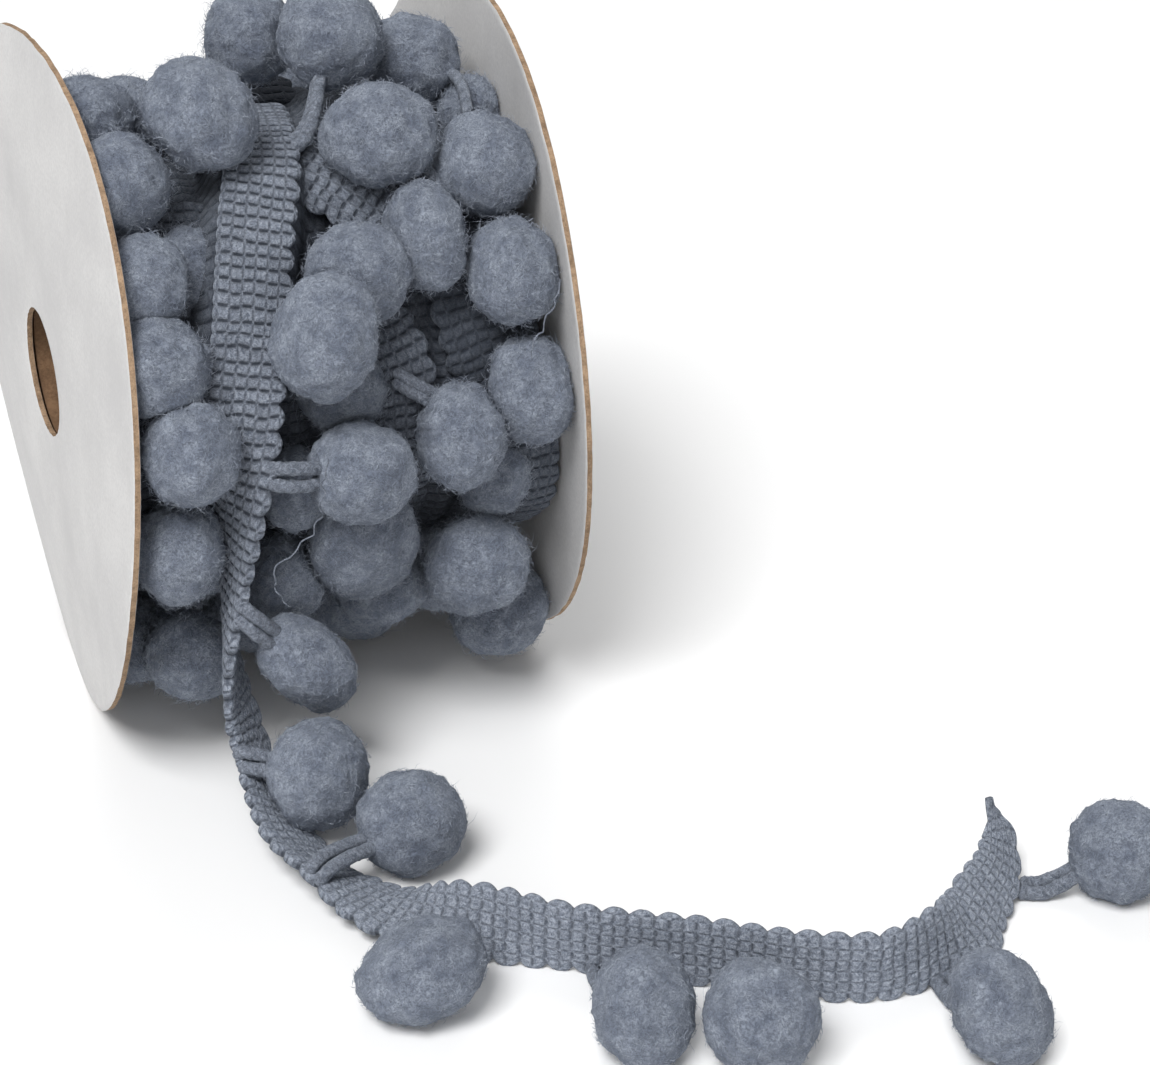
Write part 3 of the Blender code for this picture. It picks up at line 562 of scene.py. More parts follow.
def make_pompoms():
    """The loose end's pompoms, those that show on the reel, and those of the hidden side."""
    loose = []
    for number, (_, x, y, z, across, deep, high, lean) in enumerate(LOOSE_POMPOMS):
        c, s = math.cos(math.radians(lean)), math.sin(math.radians(lean))
        directions = ((c, 0, -s), (0, 1, 0), (s, 0, c))
        loose.append(Pompom((x, y, z), (across, deep, high), directions, number + 0.5, True))
    places = list(REEL_POMPOMS)
    row = 0
    angle = BACK_FIRST_ANGLE
    while angle <= BACK_LAST_ANGLE:
        for x in BACK_COLUMNS[row % 2]:
            low = angle > LOW_CORNER_ANGLE and x < LOW_CORNER_X
            radius = LOW_CORNER_RADIUS if low else BACK_RADIUS
            wander = 3.5 * math.sin(2.3 * row + 0.4 * x)
            size = LOW_CORNER_POMPOM if low else BACK_POMPOM
            size *= 1 + 0.06 * math.sin(1.7 * row + x)
            places.append((angle + wander, x + 0.4 * wander, radius, size, size * 0.95, size))
        row += 1
        angle += BACK_ROW_STEP
    wound = []
    for number, (a, x, r, across, deep, round_it) in enumerate(places):
        c, s = math.cos(math.radians(a)), math.sin(math.radians(a))
        directions = ((1, 0, 0), (0, -s, c), (0, -c, -s))
        wound.append(Pompom(on_reel(a, x, r), (across, deep, round_it), directions, number, False))
    every = loose + wound
    for ball in every:
        ball.pressing = [other for other in every if other is not ball]
    front = len(REEL_POMPOMS)
    return loose, wound[:front], wound[front:]


def ball_points(balls, steps, ribbon):
    """All balls of a group on one grid each, each grid turned its own way to scatter the poles."""
    ways, quads, tips = ball_grid(steps)
    points, all_quads, all_tips = [], [], []
    for number, ball in enumerate(balls):
        draw = np.random.default_rng(500 + number)
        turn, _ = np.linalg.qr(draw.normal(size=(3, 3)))
        if np.linalg.det(turn) < 0:
            turn[:, 0] *= -1
        surface, _ = ball.surface(ways @ turn.T, ribbon)
        all_quads.append(quads + number * len(ways))
        all_tips.append(tips + number * len(ways))
        points.append(surface)
    return np.vstack(points), np.vstack(all_quads), np.vstack(all_tips)


def fibres(balls, count, strays, reach, ribbon, seed):
    """Bent three-sided hairs on the balls: each starts on the felt, leans over along it and
    ends in a point. The first ones are the matted pile, the last ones long stray hairs."""
    points = []
    for number, ball in enumerate(balls):
        draw = np.random.default_rng(seed + number)
        total = count + strays
        ways = unit(draw.normal(size=(total, 3)))
        root, out = ball.surface(ways, ribbon)
        stray = np.arange(total) >= count
        lean = unit(np.cross(out, draw.normal(size=(total, 3))))
        cross = np.cross(out, lean)
        length = np.where(stray, draw.uniform(*STRAY_LENGTH, total), draw.uniform(*PILE_LENGTH, total))
        stray_rise = draw.uniform(*STRAY_RISE, total)
        rise = np.where(stray, stray_rise, draw.uniform(*PILE_RISE, total) ** 1.5 * reach)
        wide = np.where(stray, STRAY_RADIUS, draw.uniform(*PILE_RADIUS, total))
        curl = draw.uniform(-0.5, 0.5, total) * length
        bend = root + out * (rise * 0.75)[:, None] + lean * (length * 0.5)[:, None]
        tip = root + out * (rise * draw.uniform(0.6, 1.3, total))[:, None]
        tip = tip + lean * length[:, None] + cross * curl[:, None]
        root = root - out * HAIR_ROOT
        way = unit(bend - root)
        first = unit(np.cross(way, cross))
        second = np.cross(way, first)
        rings = []
        for place in (root, bend):
            for turn in (0.0, 2 * math.pi / 3, 4 * math.pi / 3):
                around = math.cos(turn) * first + math.sin(turn) * second
                rings.append(place + around * wide[:, None])
        hair = np.stack(rings + [tip], axis=1)
        if ball.loose:
            hair[..., 2] = np.maximum(hair[..., 2], HAIR_LIFT)
        else:
            hair = inside_reel(hair, HAIR_CARD_GAP)
        points.append(hair)
    hairs = np.vstack(points)
    base = np.arange(len(hairs))[:, None, None] * 7
    quads = np.array([[0, 1, 4, 3], [1, 2, 5, 4], [2, 0, 3, 5]])
    tips = np.array([[0, 2, 1], [3, 4, 6], [4, 5, 6], [5, 3, 6]])
    return hairs.reshape(-1, 3), (base + quads).reshape(-1, 4), (base + tips).reshape(-1, 3)


def drum_surface(ribbon):
    """The wound roll: radius over angle and x, with slanting grooves, a slow swell round it,
    the braid's stitches on each turn, and a hump under the loose end. Closed by its bore."""
    angles, widths = 400, 84
    angle = np.linspace(-180.0, 180.0, angles, endpoint=False)
    x = np.linspace(-DRUM_WIDTH / 2, DRUM_WIDTH / 2, widths)
    angle, x = np.meshgrid(angle, x, indexing="ij")
    turn = (x + TURN_PITCH * angle / 360.0) / TURN_PITCH
    groove = DRUM_GROOVE * np.cos(2 * math.pi * turn) ** 2
    swell = DRUM_SWELL * np.sin(np.radians(3 * angle + 9 * x))
    radius = DRUM_RADIUS + swell - groove
    line = ribbon[0]
    line_radius = np.hypot(line[:, 1], line[:, 2] - AXIS_HEIGHT)
    line_angle = np.degrees(np.arctan2(-line[:, 1], line[:, 2] - AXIS_HEIGHT))
    use = (line_angle > -5) & (line_angle < 72) & (line_radius < 46)
    under = np.interp(angle, line_angle[use], line_radius[use]) - BRAID_THICK / 2 - BRAID_CLEAR
    beside = np.abs(x - np.interp(angle, line_angle[use], line[use, 0]))
    hump = smooth_step((HUMP_HALF - beside) / HUMP_SLOPE)
    near = smooth_step((angle - HUMP_RISE[0]) / HUMP_RISE[1])
    near = near * smooth_step((HUMP_FALL[0] - angle) / HUMP_FALL[1])
    across = (turn - np.floor(turn) - 0.5) * TURN_PITCH
    raised, counts = stitches(np.radians(angle) * DRUM_RADIUS, across, 5)
    radius = radius + (under - radius) * hump * near - RELIEF * (1 - raised)
    rad = np.radians(angle)
    points = np.stack([x, -radius * np.sin(rad), AXIS_HEIGHT + radius * np.cos(rad)], axis=-1)
    bore = np.stack([x, -DRUM_BORE * np.sin(rad), AXIS_HEIGHT + DRUM_BORE * np.cos(rad)], axis=-1)
    rings = np.concatenate([points, bore[:, ::-1, :][:, [0, -1], :]], axis=1)
    # Painted shade: the roll's lightness is its stitch relief scaled down, so it reads dark deep under the
    # pompoms; the bore is fully dark
    high = np.concatenate([raised * DRUM_LIGHT_UNDER_PAINTED_SHADE, np.zeros((angles, 2))], axis=1)
    counts = np.concatenate([counts, np.full((angles, 2, 3), 0.5)], axis=1)
    return inside_reel(rings, GLUE_GAP), high, counts


def card_surface(sign):
    """A card disc: a profile of its two faces, its cut rim and its cut hole, turned round the
    reel's axis, the cut edges rough by noise, then bent sideways by card_lean."""
    steps = 240
    hole_edge, rim_edge = (HOLE_RADIUS, HOLE_RADIUS + 0.3), (CARD_RADIUS - 0.25, CARD_RADIUS)
    faces = np.array([*hole_edge, 12.0, 17.0, 22.0, 27.0, 32.0, 37.0, 42.0, 46.0, 49.0, *rim_edge])
    cut = np.linspace(0.0, 1.0, 5)[1:-1]
    on_face, on_cut = len(faces), len(cut)
    rim, hole = np.full(on_cut, CARD_RADIUS), np.full(on_cut, HOLE_RADIUS)
    radius = np.concatenate([faces, rim, faces[::-1], hole])
    depth = np.concatenate([np.zeros(on_face), cut, np.ones(on_face), cut[::-1]])
    bevel = np.concatenate([[CUT_BEVEL], np.zeros(on_face - 2), [CUT_BEVEL]])
    depth = depth + np.concatenate([bevel, np.zeros(on_cut), -bevel[::-1], np.zeros(on_cut)])
    turn = np.linspace(0.0, 2 * math.pi, steps, endpoint=False)
    turn, radius = np.meshgrid(turn, radius, indexing="ij")
    depth = np.broadcast_to(depth, radius.shape)
    y, up = -radius * np.sin(turn), radius * np.cos(turn)
    x = sign * (REEL_WIDTH / 2 - CARD_THICK * depth) + card_lean(sign, y, up)
    points = np.stack([x, y, up], axis=-1)
    near_cut = np.clip(1 - (CARD_RADIUS - radius) / RIM_ROUGH_BAND, 0, 1)
    near_cut = near_cut + np.clip(1 - (radius - HOLE_RADIUS) / HOLE_ROUGH_BAND, 0, 1)
    rough = 0.07 * soft_noise(points, 1.3, 40 + sign) + 0.05 * soft_noise(points, 5.0, 42 + sign)
    outer = radius > (HOLE_RADIUS + CARD_RADIUS) / 2
    out = np.where(outer, 1.0, -1.0) * near_cut * (rough - 0.06)
    points[..., 1] -= out * np.sin(turn)
    points[..., 2] += out * np.cos(turn)
    points[..., 2] = np.maximum(points[..., 2] + AXIS_HEIGHT, 0.0)
    cut_face = np.zeros(radius.shape[1], dtype=int)
    cut_face[on_face - 1 : on_face + on_cut] = 1
    cut_face[2 * on_face + on_cut - 1 :] = 1
    return points, cut_face


def tube_surface():
    """The card tube: a ring section turned round the reel's axis."""
    half = REEL_WIDTH / 2 - CARD_THICK - GLUE_GAP
    long = np.linspace(-half, half, 6)
    x = np.concatenate([long, long[::-1]])
    radius = np.repeat([TUBE_OUTER, TUBE_INNER], len(long))
    turn = np.linspace(0.0, 2 * math.pi, 128, endpoint=False)
    turn, radius = np.meshgrid(turn, radius, indexing="ij")
    x = np.broadcast_to(x, radius.shape)
    return np.stack([x, -radius * np.sin(turn), AXIS_HEIGHT + radius * np.cos(turn)], axis=-1)


def loop_line(number, root, centre, frame_rows, even, sign):
    """One yarn of a pompom's loop: a quadratic Bezier from the braid's pompom edge, out along
    the braid's own plane, and into the ball. It arches over the braid where the ball lies back
    across it."""
    middle, along, side, normal = frame_rows
    at = int(np.argmin(np.abs(even - root)))
    edge = middle[at] + side[at] * (BRAID_WIDTH / 2 - LOOP_IN_BRAID)
    way = unit(centre - edge)
    end = centre - way * LOOP_TO_MIDDLE
    folded = max(0.0, -float(way @ side[at]))
    arch = normal[at] * math.copysign(LOOP_ARCH * folded, way @ normal[at])
    reach = (LOOP_REACH + 0.5 * math.sin(3.0 * number)) * (1 - 0.6 * folded)
    bend = edge + side[at] * reach + arch
    shift = along[at] * LOOP_SPREAD * sign
    t = np.linspace(0.0, 1.0, 44)[:, None]
    line = (1 - t) ** 2 * edge + 2 * t * (1 - t) * bend + t**2 * end
    line = line + shift * (1 + 0.25 * np.sin(math.pi * t))
    line[:, 2] = np.maximum(line[:, 2], YARN_RADIUS + YARN_LIFT)
    return line


# Meshes

def mesh_object(name, points, faces, smooth=True):
    """A mesh from points in mm and lists of faces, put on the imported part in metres."""
    mesh = bpy.data.meshes.new(name)
    lists = []
    for group in faces:
        lists.extend(group.tolist())
    mesh.from_pydata((points * MM + OFFSET).tolist(), [], lists)
    if smooth:
        mesh.shade_smooth()
    made = bpy.data.objects.new(name, mesh)
    bpy.context.scene.collection.objects.link(made)
    return made


def ring_faces(count, sides, first, closed):
    """Quads between rings of points; closed joins the last ring to the first."""
    i, j = np.meshgrid(np.arange(count if closed else count - 1), np.arange(sides), indexing="ij")
    n, k = (i + 1) % count, (j + 1) % sides
    quads = np.stack([i * sides + j, i * sides + k, n * sides + k, n * sides + j], axis=-1)
    return quads.reshape(-1, 4) + first


def strands_object(name, strands):
    """Several open-ended strands of rings as one mesh, each closed by a flat cap at both ends."""
    points, faces, painted_lights, knots = [], [], [], []
    first = 0
    for rings, high, counts in strands:
        count, sides = rings.shape[:2]
        faces.append(ring_faces(count, sides, first, False))
        faces.append(first + np.arange(sides)[None, ::-1])
        faces.append(first + (count - 1) * sides + np.arange(sides)[None, :])
        points.append(rings.reshape(-1, 3))
        painted_lights.append(high.ravel())
        knots.append(counts.reshape(-1, 3))
        first += count * sides
    made = mesh_object(name, np.vstack(points), faces)
    set_knots(made, np.concatenate(painted_lights), np.vstack(knots))
    return made


def set_knots(made, high, counts):
    """Keeps for the material how light each point is as painted shade, from 0 in a groove to 1, and its
    count of ribs, count of rows and share of painted pit shade."""
    layer = made.data.attributes.new("painted_light", "FLOAT", "POINT")
    layer.data.foreach_set("value", np.ascontiguousarray(high, dtype=np.float32).ravel())
    layer = made.data.attributes.new("knots", "FLOAT_VECTOR", "POINT")
    layer.data.foreach_set("vector", np.ascontiguousarray(counts, dtype=np.float32).ravel())


# Materials

def linear(hex_colour):
    """An sRGB hex colour as linear red, green, blue and alpha."""
    parts = [int(hex_colour[k : k + 2], 16) / 255 for k in (1, 3, 5)]
    return (*[c / 12.92 if c <= 0.04045 else ((c + 0.055) / 1.055) ** 2.4 for c in parts], 1.0)


def add_node(tree, kind, settings, inputs):
    """One node with its settings; each input is a value or the socket that feeds it."""
    made = tree.nodes.new(kind)
    for name, value in settings.items():
        setattr(made, name, value)
    for name, value in inputs.items():
        if isinstance(value, bpy.types.NodeSocket):
            tree.links.new(value, made.inputs[name])
        else:
            made.inputs[name].default_value = value
    return made


def new_material(name, sockets):
    """A Principled material with its constant sockets set, its tree and its shader."""
    made = bpy.data.materials.new(name)
    made.use_nodes = True
    tree = made.node_tree
    shader = tree.nodes["Principled BSDF"]
    for socket, value in sockets.items():
        shader.inputs[socket].default_value = value
    return made, tree, shader


def felt_wool(name, dark, mid, light, bump_mm):
    """Felted wool pile: cloudy light and dark over millimetres, and matted fibres finer than
    that. It gives the eye a dull, soft ball with a light rim and no gloss."""
    made, tree, shader = new_material(name, {
        "Roughness": 0.95, "Specular IOR Level": 0.2, "Sheen Weight": 0.35,
        "Sheen Roughness": 0.5, "Sheen Tint": linear("#c3ccd8"),
    })
    place = add_node(tree, "ShaderNodeTexCoord", {}, {}).outputs["Object"]
    cloud = add_node(tree, "ShaderNodeTexNoise", {}, {
        "Vector": place, "Scale": 1 / (FELT_CLOUD * MM), "Detail": 4.0, "Roughness": 0.6})
    matted = add_node(tree, "ShaderNodeTexNoise", {}, {
        "Vector": place, "Scale": 1 / (FELT_FIBRE * MM), "Detail": 5.0, "Roughness": 0.75,
        "Distortion": 1.2})
    cloudy = add_node(tree, "ShaderNodeMapRange", {}, {
        "Value": cloud.outputs["Fac"], "From Min": 0.36, "From Max": 0.64})
    hairy = add_node(tree, "ShaderNodeMapRange", {}, {
        "Value": matted.outputs["Fac"], "From Min": 0.42, "From Max": 0.6})
    base = add_node(tree, "ShaderNodeMix", {"data_type": "RGBA"}, {
        0: cloudy.outputs["Result"], 6: linear(mid), 7: linear(light)})
    strength = add_node(tree, "ShaderNodeMath", {"operation": "MULTIPLY_ADD"}, {
        0: hairy.outputs["Result"], 1: -0.65, 2: 0.65})
    colour = add_node(tree, "ShaderNodeMix", {"data_type": "RGBA"}, {
        0: strength.outputs["Value"], 6: base.outputs[2], 7: linear(dark)})
    bump = add_node(tree, "ShaderNodeBump", {}, {
        "Height": matted.outputs["Fac"], "Strength": 0.85, "Distance": bump_mm * MM})
    tree.links.new(colour.outputs[2], shader.inputs["Base Color"])
    tree.links.new(bump.outputs["Normal"], shader.inputs["Normal"])
    return made


def boucle_yarn(name, dark, mid, light):
    """Soft bulky yarn, worked into braid and loops, with painted shade: darker down in the grooves, pits and
    row seams between the knots, each knot a small V of two strands with painted shade between them, and a
    fine curly grain all over. It gives the eye a dry, woolly, knotted tape. The lightness attribute of the
    points carries painted shade, and the attribute knots counts ribs in X and rows in Y, and holds the share
    of painted pit shade in Z."""
    made, tree, shader = new_material(name, {
        "Roughness": 0.92, "Specular IOR Level": 0.2, "Sheen Weight": 0.25,
        "Sheen Roughness": 0.55, "Sheen Tint": linear("#c3ccd8"),
    })
    place = add_node(tree, "ShaderNodeTexCoord", {}, {}).outputs["Object"]
    # Painted shade: each point's lightness, low in the grooves and deep in the pile
    high = add_node(tree, "ShaderNodeAttribute", {"attribute_name": "painted_light"}, {})
    curl = add_node(tree, "ShaderNodeTexNoise", {}, {
        "Vector": place, "Scale": 1 / (YARN_CURL * MM), "Detail": 5.0, "Roughness": 0.75,
        "Distortion": 2.0})
    curly = add_node(tree, "ShaderNodeMapRange", {}, {
        "Value": curl.outputs["Fac"], "From Min": 0.4, "From Max": 0.62})
    top = add_node(tree, "ShaderNodeMapRange", {}, {
        "Value": high.outputs["Fac"], "From Min": 0.06, "From Max": 0.85})
    counts = add_node(tree, "ShaderNodeAttribute", {"attribute_name": "knots"}, {})
    inside = add_node(tree, "ShaderNodeVectorMath", {"operation": "FRACTION"}, {0: counts.outputs["Vector"]})
    within = add_node(tree, "ShaderNodeSeparateXYZ", {}, {0: inside.outputs[0]})
    beside = add_node(tree, "ShaderNodeMath", {"operation": "PINGPONG"}, {0: within.outputs["Y"], 1: 0.5})
    # Painted shade between the two strands of each knot's V
    strand = add_node(tree, "ShaderNodeMath", {"operation": "MULTIPLY_ADD"}, {
        0: within.outputs["X"], 1: 0.2, 2: 0.14})
    apart = add_node(tree, "ShaderNodeMath", {"operation": "SUBTRACT"}, {
        0: beside.outputs[0], 1: strand.outputs[0]})
    gap = add_node(tree, "ShaderNodeMath", {"operation": "ABSOLUTE"}, {0: apart.outputs[0]})
    strand_tops_painted_light = add_node(tree, "ShaderNodeMapRange", {"interpolation_type": "SMOOTHSTEP"}, {
        "Value": gap.outputs[0], "From Min": 0.26, "From Max": 0.04})
    yarn = add_node(tree, "ShaderNodeMix", {"data_type": "RGBA"}, {
        0: curly.outputs["Result"], 6: linear(mid), 7: linear(light)})
    # Painted shade in the pits between the ribs and on the seams between the rows
    rib_gap = add_node(tree, "ShaderNodeMath", {"operation": "PINGPONG"}, {0: within.outputs["X"], 1: 0.5})
    rib_pit_shade_mask = add_node(tree, "ShaderNodeMapRange", {"interpolation_type": "SMOOTHSTEP"}, {
        "Value": rib_gap.outputs[0], "From Min": 0.15, "From Max": 0.05})
    inner = add_node(tree, "ShaderNodeMapRange", {"interpolation_type": "SMOOTHSTEP"}, {
        "Value": beside.outputs[0], "From Min": 0.05, "From Max": 0.2})
    pit = add_node(tree, "ShaderNodeMath", {"operation": "MULTIPLY"}, {
        0: rib_pit_shade_mask.outputs["Result"], 1: inner.outputs["Result"]})
    row_seam_shade = add_node(tree, "ShaderNodeMapRange", {"interpolation_type": "SMOOTHSTEP"}, {
        "Value": beside.outputs[0], "From Min": 0.13, "From Max": 0.02, "To Max": 0.24})
    on_knot = add_node(tree, "ShaderNodeMapRange", {"interpolation_type": "SMOOTHSTEP"}, {
        "Value": rib_gap.outputs[0], "From Min": 0.08, "From Max": 0.25})
    seam = add_node(tree, "ShaderNodeMath", {"operation": "MULTIPLY"}, {
        0: row_seam_shade.outputs["Result"], 1: on_knot.outputs["Result"]})
    strands = add_node(tree, "ShaderNodeMath", {"operation": "MULTIPLY_ADD"}, {
        0: strand_tops_painted_light.outputs["Result"], 1: 0.18, 2: 0.84})
    lit = add_node(tree, "ShaderNodeMath", {"operation": "SUBTRACT"}, {
        0: strands.outputs[0], 1: seam.outputs[0]})
    # Painted pit shade, stronger on the outer face
    deep = add_node(tree, "ShaderNodeMath", {"operation": "MULTIPLY"}, {
        0: pit.outputs[0], 1: within.outputs["Z"]})
    open_top = add_node(tree, "ShaderNodeMath", {"operation": "SUBTRACT"}, {
        0: lit.outputs[0], 1: deep.outputs[0]})
    # Painted shade: grooves, pits and seams mix towards the dark colour
    both = add_node(tree, "ShaderNodeMath", {"operation": "MULTIPLY"}, {
        0: top.outputs["Result"], 1: open_top.outputs[0]})
    colour = add_node(tree, "ShaderNodeMix", {"data_type": "RGBA"}, {
        0: both.outputs[0], 6: linear(dark), 7: yarn.outputs[2]})
    height = add_node(tree, "ShaderNodeMath", {"operation": "MULTIPLY_ADD"}, {
        0: open_top.outputs[0], 1: 1.2, 2: curl.outputs["Fac"]})
    bump = add_node(tree, "ShaderNodeBump", {}, {
        "Height": height.outputs[0], "Strength": 0.95, "Distance": 0.34 * MM})
    tree.links.new(colour.outputs[2], shader.inputs["Base Color"])
    tree.links.new(bump.outputs["Normal"], shader.inputs["Normal"])
    return made


def board(name, dark, light, cloud_mm, grain_mm, bump_mm, roughness):
    """Card: cloudy over cloud_mm with a fibrous grain of grain_mm. The clay-coated face is
    nearly even and a little smooth; the raw grey-brown board at a cut is rough and speckled."""
    made, tree, shader = new_material(name, {"Roughness": roughness, "Specular IOR Level": 0.3})
    place = add_node(tree, "ShaderNodeTexCoord", {}, {}).outputs["Object"]
    cloud = add_node(tree, "ShaderNodeTexNoise", {}, {
        "Vector": place, "Scale": 1 / (cloud_mm * MM), "Detail": 5.0, "Roughness": 0.6})
    grain = add_node(tree, "ShaderNodeTexNoise", {}, {
        "Vector": place, "Scale": 1 / (grain_mm * MM), "Detail": 4.0, "Roughness": 0.7})
    both = add_node(tree, "ShaderNodeMath", {"operation": "MULTIPLY"}, {
        0: cloud.outputs["Fac"], 1: grain.outputs["Fac"]})
    share = add_node(tree, "ShaderNodeMapRange", {}, {
        "Value": both.outputs["Value"], "From Min": 0.14, "From Max": 0.36})
    colour = add_node(tree, "ShaderNodeMix", {"data_type": "RGBA"}, {
        0: share.outputs["Result"], 6: linear(dark), 7: linear(light)})
    bump = add_node(tree, "ShaderNodeBump", {}, {
        "Height": grain.outputs["Fac"], "Strength": 0.5, "Distance": bump_mm * MM})
    tree.links.new(colour.outputs[2], shader.inputs["Base Color"])
    tree.links.new(bump.outputs["Normal"], shader.inputs["Normal"])
    return made


def plain_floor():
    """Matte white studio paper."""
    made, _, _ = new_material("white studio paper", {"Base Color": linear("#f4f4f4"), "Roughness": 0.9})
    return made


def finish_piece(made, material, slot, *nodes):
    """Gives a piece its material and puts it on the one body. The argument slot is not used."""
    made.data.materials.append(material)
    if nodes:
        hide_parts(*nodes)
    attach(made, "root")
    return made


# The object

FELT = felt_wool("felted wool pompom", "#404653", "#757d8d", "#a0a8b6", 0.6)
PILE = felt_wool("loose wool pile", "#6a7180", "#8f97a6", "#b6bdc9", 0.1)
BOUCLE = boucle_yarn("boucle yarn with painted groove shade", "#262b35", "#69717f", "#b2b9c6")
WHITE_CARD = board("clay-coated white card", "#b9b8b8", "#c9c8c7", 16.0, 0.5, 0.01, 0.55)
RAW_BOARD = board("raw kraft board", "#75604c", "#a98f75", 1.6, 0.3, 0.12, 0.95)
TUBE_BOARD = board("brown paper tube", "#5a4432", "#7a5f47", 3.0, 0.5, 0.06, 0.9)

rows, even = smooth_rows(loose_rows(), LOOSE_STEP)
coarse, _ = smooth_rows(loose_rows(), SCALLOP_PITCH / 2)
ribbon = ribbon_frame(coarse)
frame_rows = ribbon_frame(rows)

rings, high, counts = braid_rings(rows, even, LOOSE_COLUMNS, 3, SMOOTH_UNTIL)
rings[..., 2] = np.maximum(rings[..., 2], BRAID_LIFT)
braid = strands_object("loose_braid", [(rings, high, counts)])
finish_piece(braid, BOUCLE, "braid_yarn", "loose_trim")

loose, front, back = make_pompoms()
loops = []
for number, ball in enumerate(loose):
    root = LOOSE_POMPOMS[number][0]
    for sign in (-1, 1):
        line = loop_line(number, root, ball.middle, frame_rows, even, sign)
        loops.append(tube_rings(line, YARN_RADIUS, YARN_SIDES, 60 + number))
finish_piece(strands_object("pompom_loops", loops), BOUCLE, "braid_yarn", "loose_trim")

drum, drum_painted_light, drum_counts = drum_surface(ribbon)
angles, widths = drum.shape[:2]
roll = mesh_object("wound_braid", drum.reshape(-1, 3), [ring_faces(angles, widths, 0, True)])
set_knots(roll, drum_painted_light, drum_counts)
finish_piece(roll, BOUCLE, "pompom_yarn", "wound_trim")

turns = []
for number, turn in enumerate(REEL_TURNS):
    fine, fine_even = turn_rows(turn)
    rings, high, counts = braid_rings(fine, fine_even, TURN_COLUMNS, 20 + number)
    # Painted shade: each raised turn's lightness is scaled down by how deep it lies in the pile
    turns.append((inside_reel(rings, TURN_CARD_GAP), high * TURN_LIGHT_UNDER_PAINTED_SHADE[number], counts))
finish_piece(strands_object("raised_turns", turns), BOUCLE, "pompom_yarn", "wound_trim")

reel_loops = []
for number, points in enumerate(REEL_LOOPS):
    line, _ = smooth_rows([on_reel(*row) for row in points], YARN_STEP)
    reel_loops.append(tube_rings(line, REEL_YARN_RADIUS, YARN_SIDES, 90 + number))
finish_piece(strands_object("reel_loops", reel_loops), BOUCLE, "pompom_yarn", "wound_trim")
threads = []
for number, points in enumerate(STRAY_THREADS):
    line, _ = smooth_rows([on_reel(*row) for row in points], THREAD_STEP)
    waves = [soft_noise(line, THREAD_CROOK_SIZE, 70 + axis) for axis in range(3)]
    line = line + THREAD_CROOK * np.stack(waves, axis=-1)
    threads.append(tube_rings(line, THREAD_RADIUS, THREAD_SIDES, 96 + number))
finish_piece(strands_object("stray_threads", threads), BOUCLE, "pompom_yarn", "wound_trim")

half = len(front) // 2
for name, balls, steps, slot, node in (
    ("loose_pompoms", loose, 36, "braid_yarn", "loose_trim"),
    ("front_pompoms", front, 36, "pompom_yarn", "wound_trim"),
    ("back_pompoms", back, 20, "pompom_yarn", "wound_trim"),
):
    points, quads, tips = ball_points(balls, steps, ribbon)
    finish_piece(mesh_object(name, points, [quads, tips]), FELT, slot, node)
for name, balls, count, strays, reach, slot, node, seed in (
    ("loose_pile", loose, 760, 24, 0.4, "braid_yarn", "loose_trim", 900),
    ("front_pile_upper", front[:half], 700, 210, 0.7, "pompom_yarn", "wound_trim", 1000),
    ("front_pile_lower", front[half:], 700, 190, 0.7, "pompom_yarn", "wound_trim", 1100),
    ("back_pile", back, 120, 24, 0.6, "pompom_yarn", "wound_trim", 1200),
):
    points, quads, tips = fibres(balls, count, strays, reach, ribbon, seed)
    finish_piece(mesh_object(name, points, [quads, tips]), PILE, slot, node)

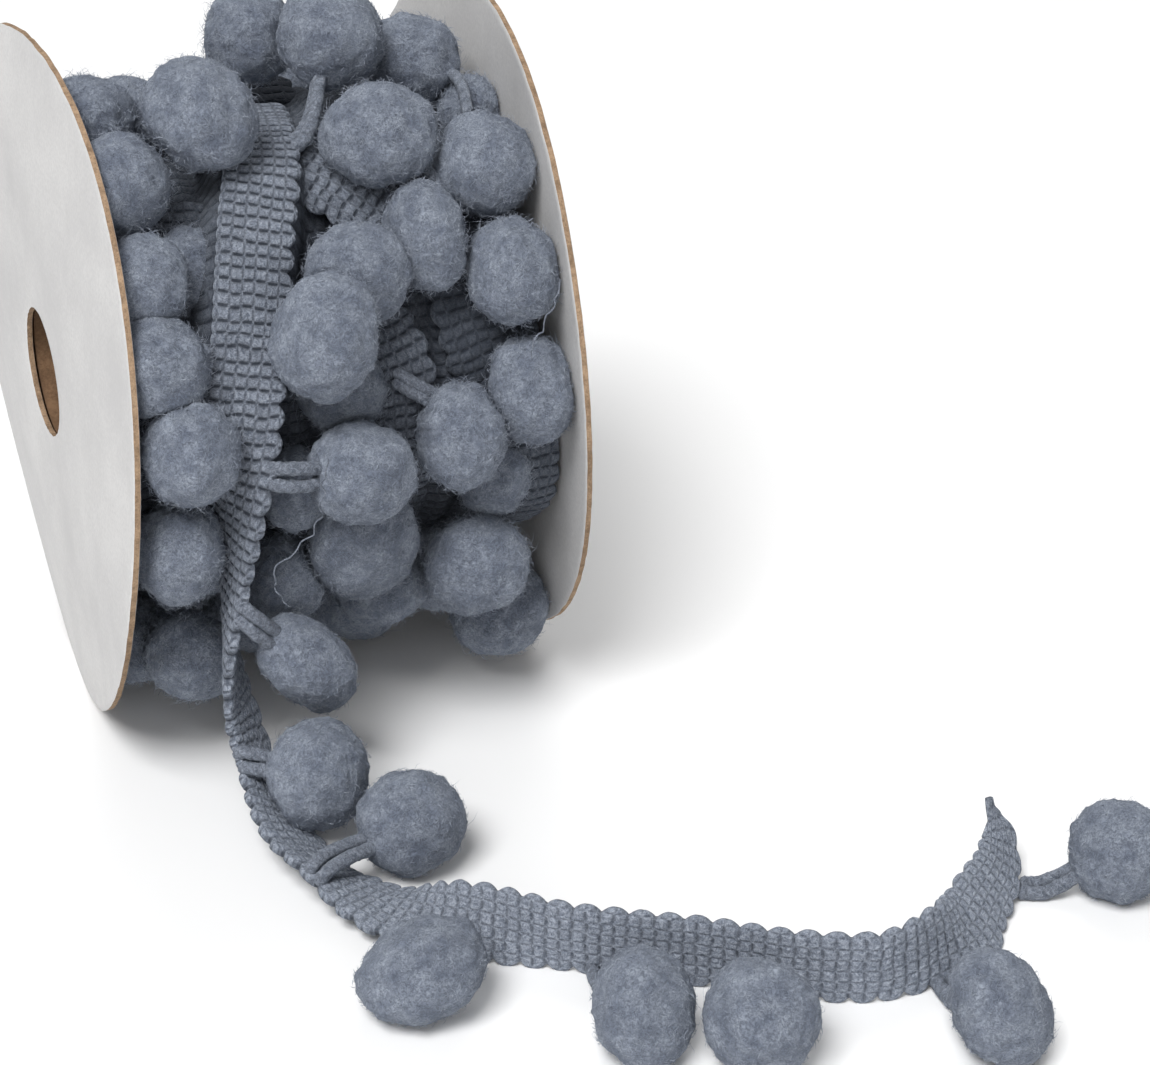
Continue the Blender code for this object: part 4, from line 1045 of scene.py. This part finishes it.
for sign, name in ((-1, "flange_left"), (1, "flange_right")):
    points, cut_face = card_surface(sign)
    if sign > 0:
        points = points[:, ::-1]
        cut_face = np.roll(cut_face[::-1], -1)
    steps, sides = points.shape[:2]
    quads = ring_faces(steps, sides, 0, True)
    card = mesh_object("card_" + name.removeprefix("flange_"), points.reshape(-1, 3), [quads])
    card.data.materials.append(WHITE_CARD)
    card.data.materials.append(RAW_BOARD)
    card.data.polygons.foreach_set("material_index", np.tile(cut_face, steps).astype(np.int32))
    card.data.set_sharp_from_angle(angle=math.radians(40))
    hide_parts(name)
    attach(card, "root")

points = tube_surface()
steps, sides = points.shape[:2]
tube = mesh_object("hub_tube", points.reshape(-1, 3), [ring_faces(steps, sides, 0, True)])
tube.data.set_sharp_from_angle(angle=math.radians(40))
finish_piece(tube, TUBE_BOARD, "kraft", "core_tube")

# Floor, light and camera

corners = [(x * FLOOR_HALF, y * FLOOR_HALF, 0.0) for x, y in ((-1, -1), (1, -1), (1, 1), (-1, 1))]
floor_mesh = bpy.data.meshes.new("floor")
floor_mesh.from_pydata(corners, [], [(0, 1, 2, 3)])
floor = bpy.data.objects.new("floor", floor_mesh)
bpy.context.scene.collection.objects.link(floor)
floor_mesh.materials.append(plain_floor())

world = bpy.data.worlds.new("soft room")
world.use_nodes = True
world.node_tree.nodes["Background"].inputs["Color"].default_value = linear("#ffffff")
world.node_tree.nodes["Background"].inputs["Strength"].default_value = ROOM_LIGHT
bpy.context.scene.world = world
bpy.context.scene.view_settings.view_transform = "Standard"

for name, place, size, watts in SOFTBOXES:
    light = bpy.data.lights.new(name, "AREA")
    light.shape = "SQUARE"
    light.size = size
    light.energy = watts
    lamp = bpy.data.objects.new(name, light)
    bpy.context.scene.collection.objects.link(lamp)
    lamp.location = place
    # Each softbox looks at the origin
    aim = unit(-np.array(place))
    lamp.rotation_euler = (math.acos(-aim[2]), 0.0, math.atan2(aim[0], -aim[1]) + math.pi)

camera_data = bpy.data.cameras.new("photo camera")
camera_data.lens = CAMERA_LENS
camera_data.sensor_width = SENSOR_WIDTH
camera_data.clip_start = 0.01
camera_data.clip_end = 20.0
camera = bpy.data.objects.new("photo camera", camera_data)
bpy.context.scene.collection.objects.link(camera)
camera.location = np.array(CAMERA_PLACE) * MM + OFFSET
camera.rotation_euler = (math.radians(90 - CAMERA_DOWN_DEG), 0.0, -math.radians(CAMERA_RIGHT_DEG))
bpy.context.scene.camera = camera

bpy.context.view_layer.update()
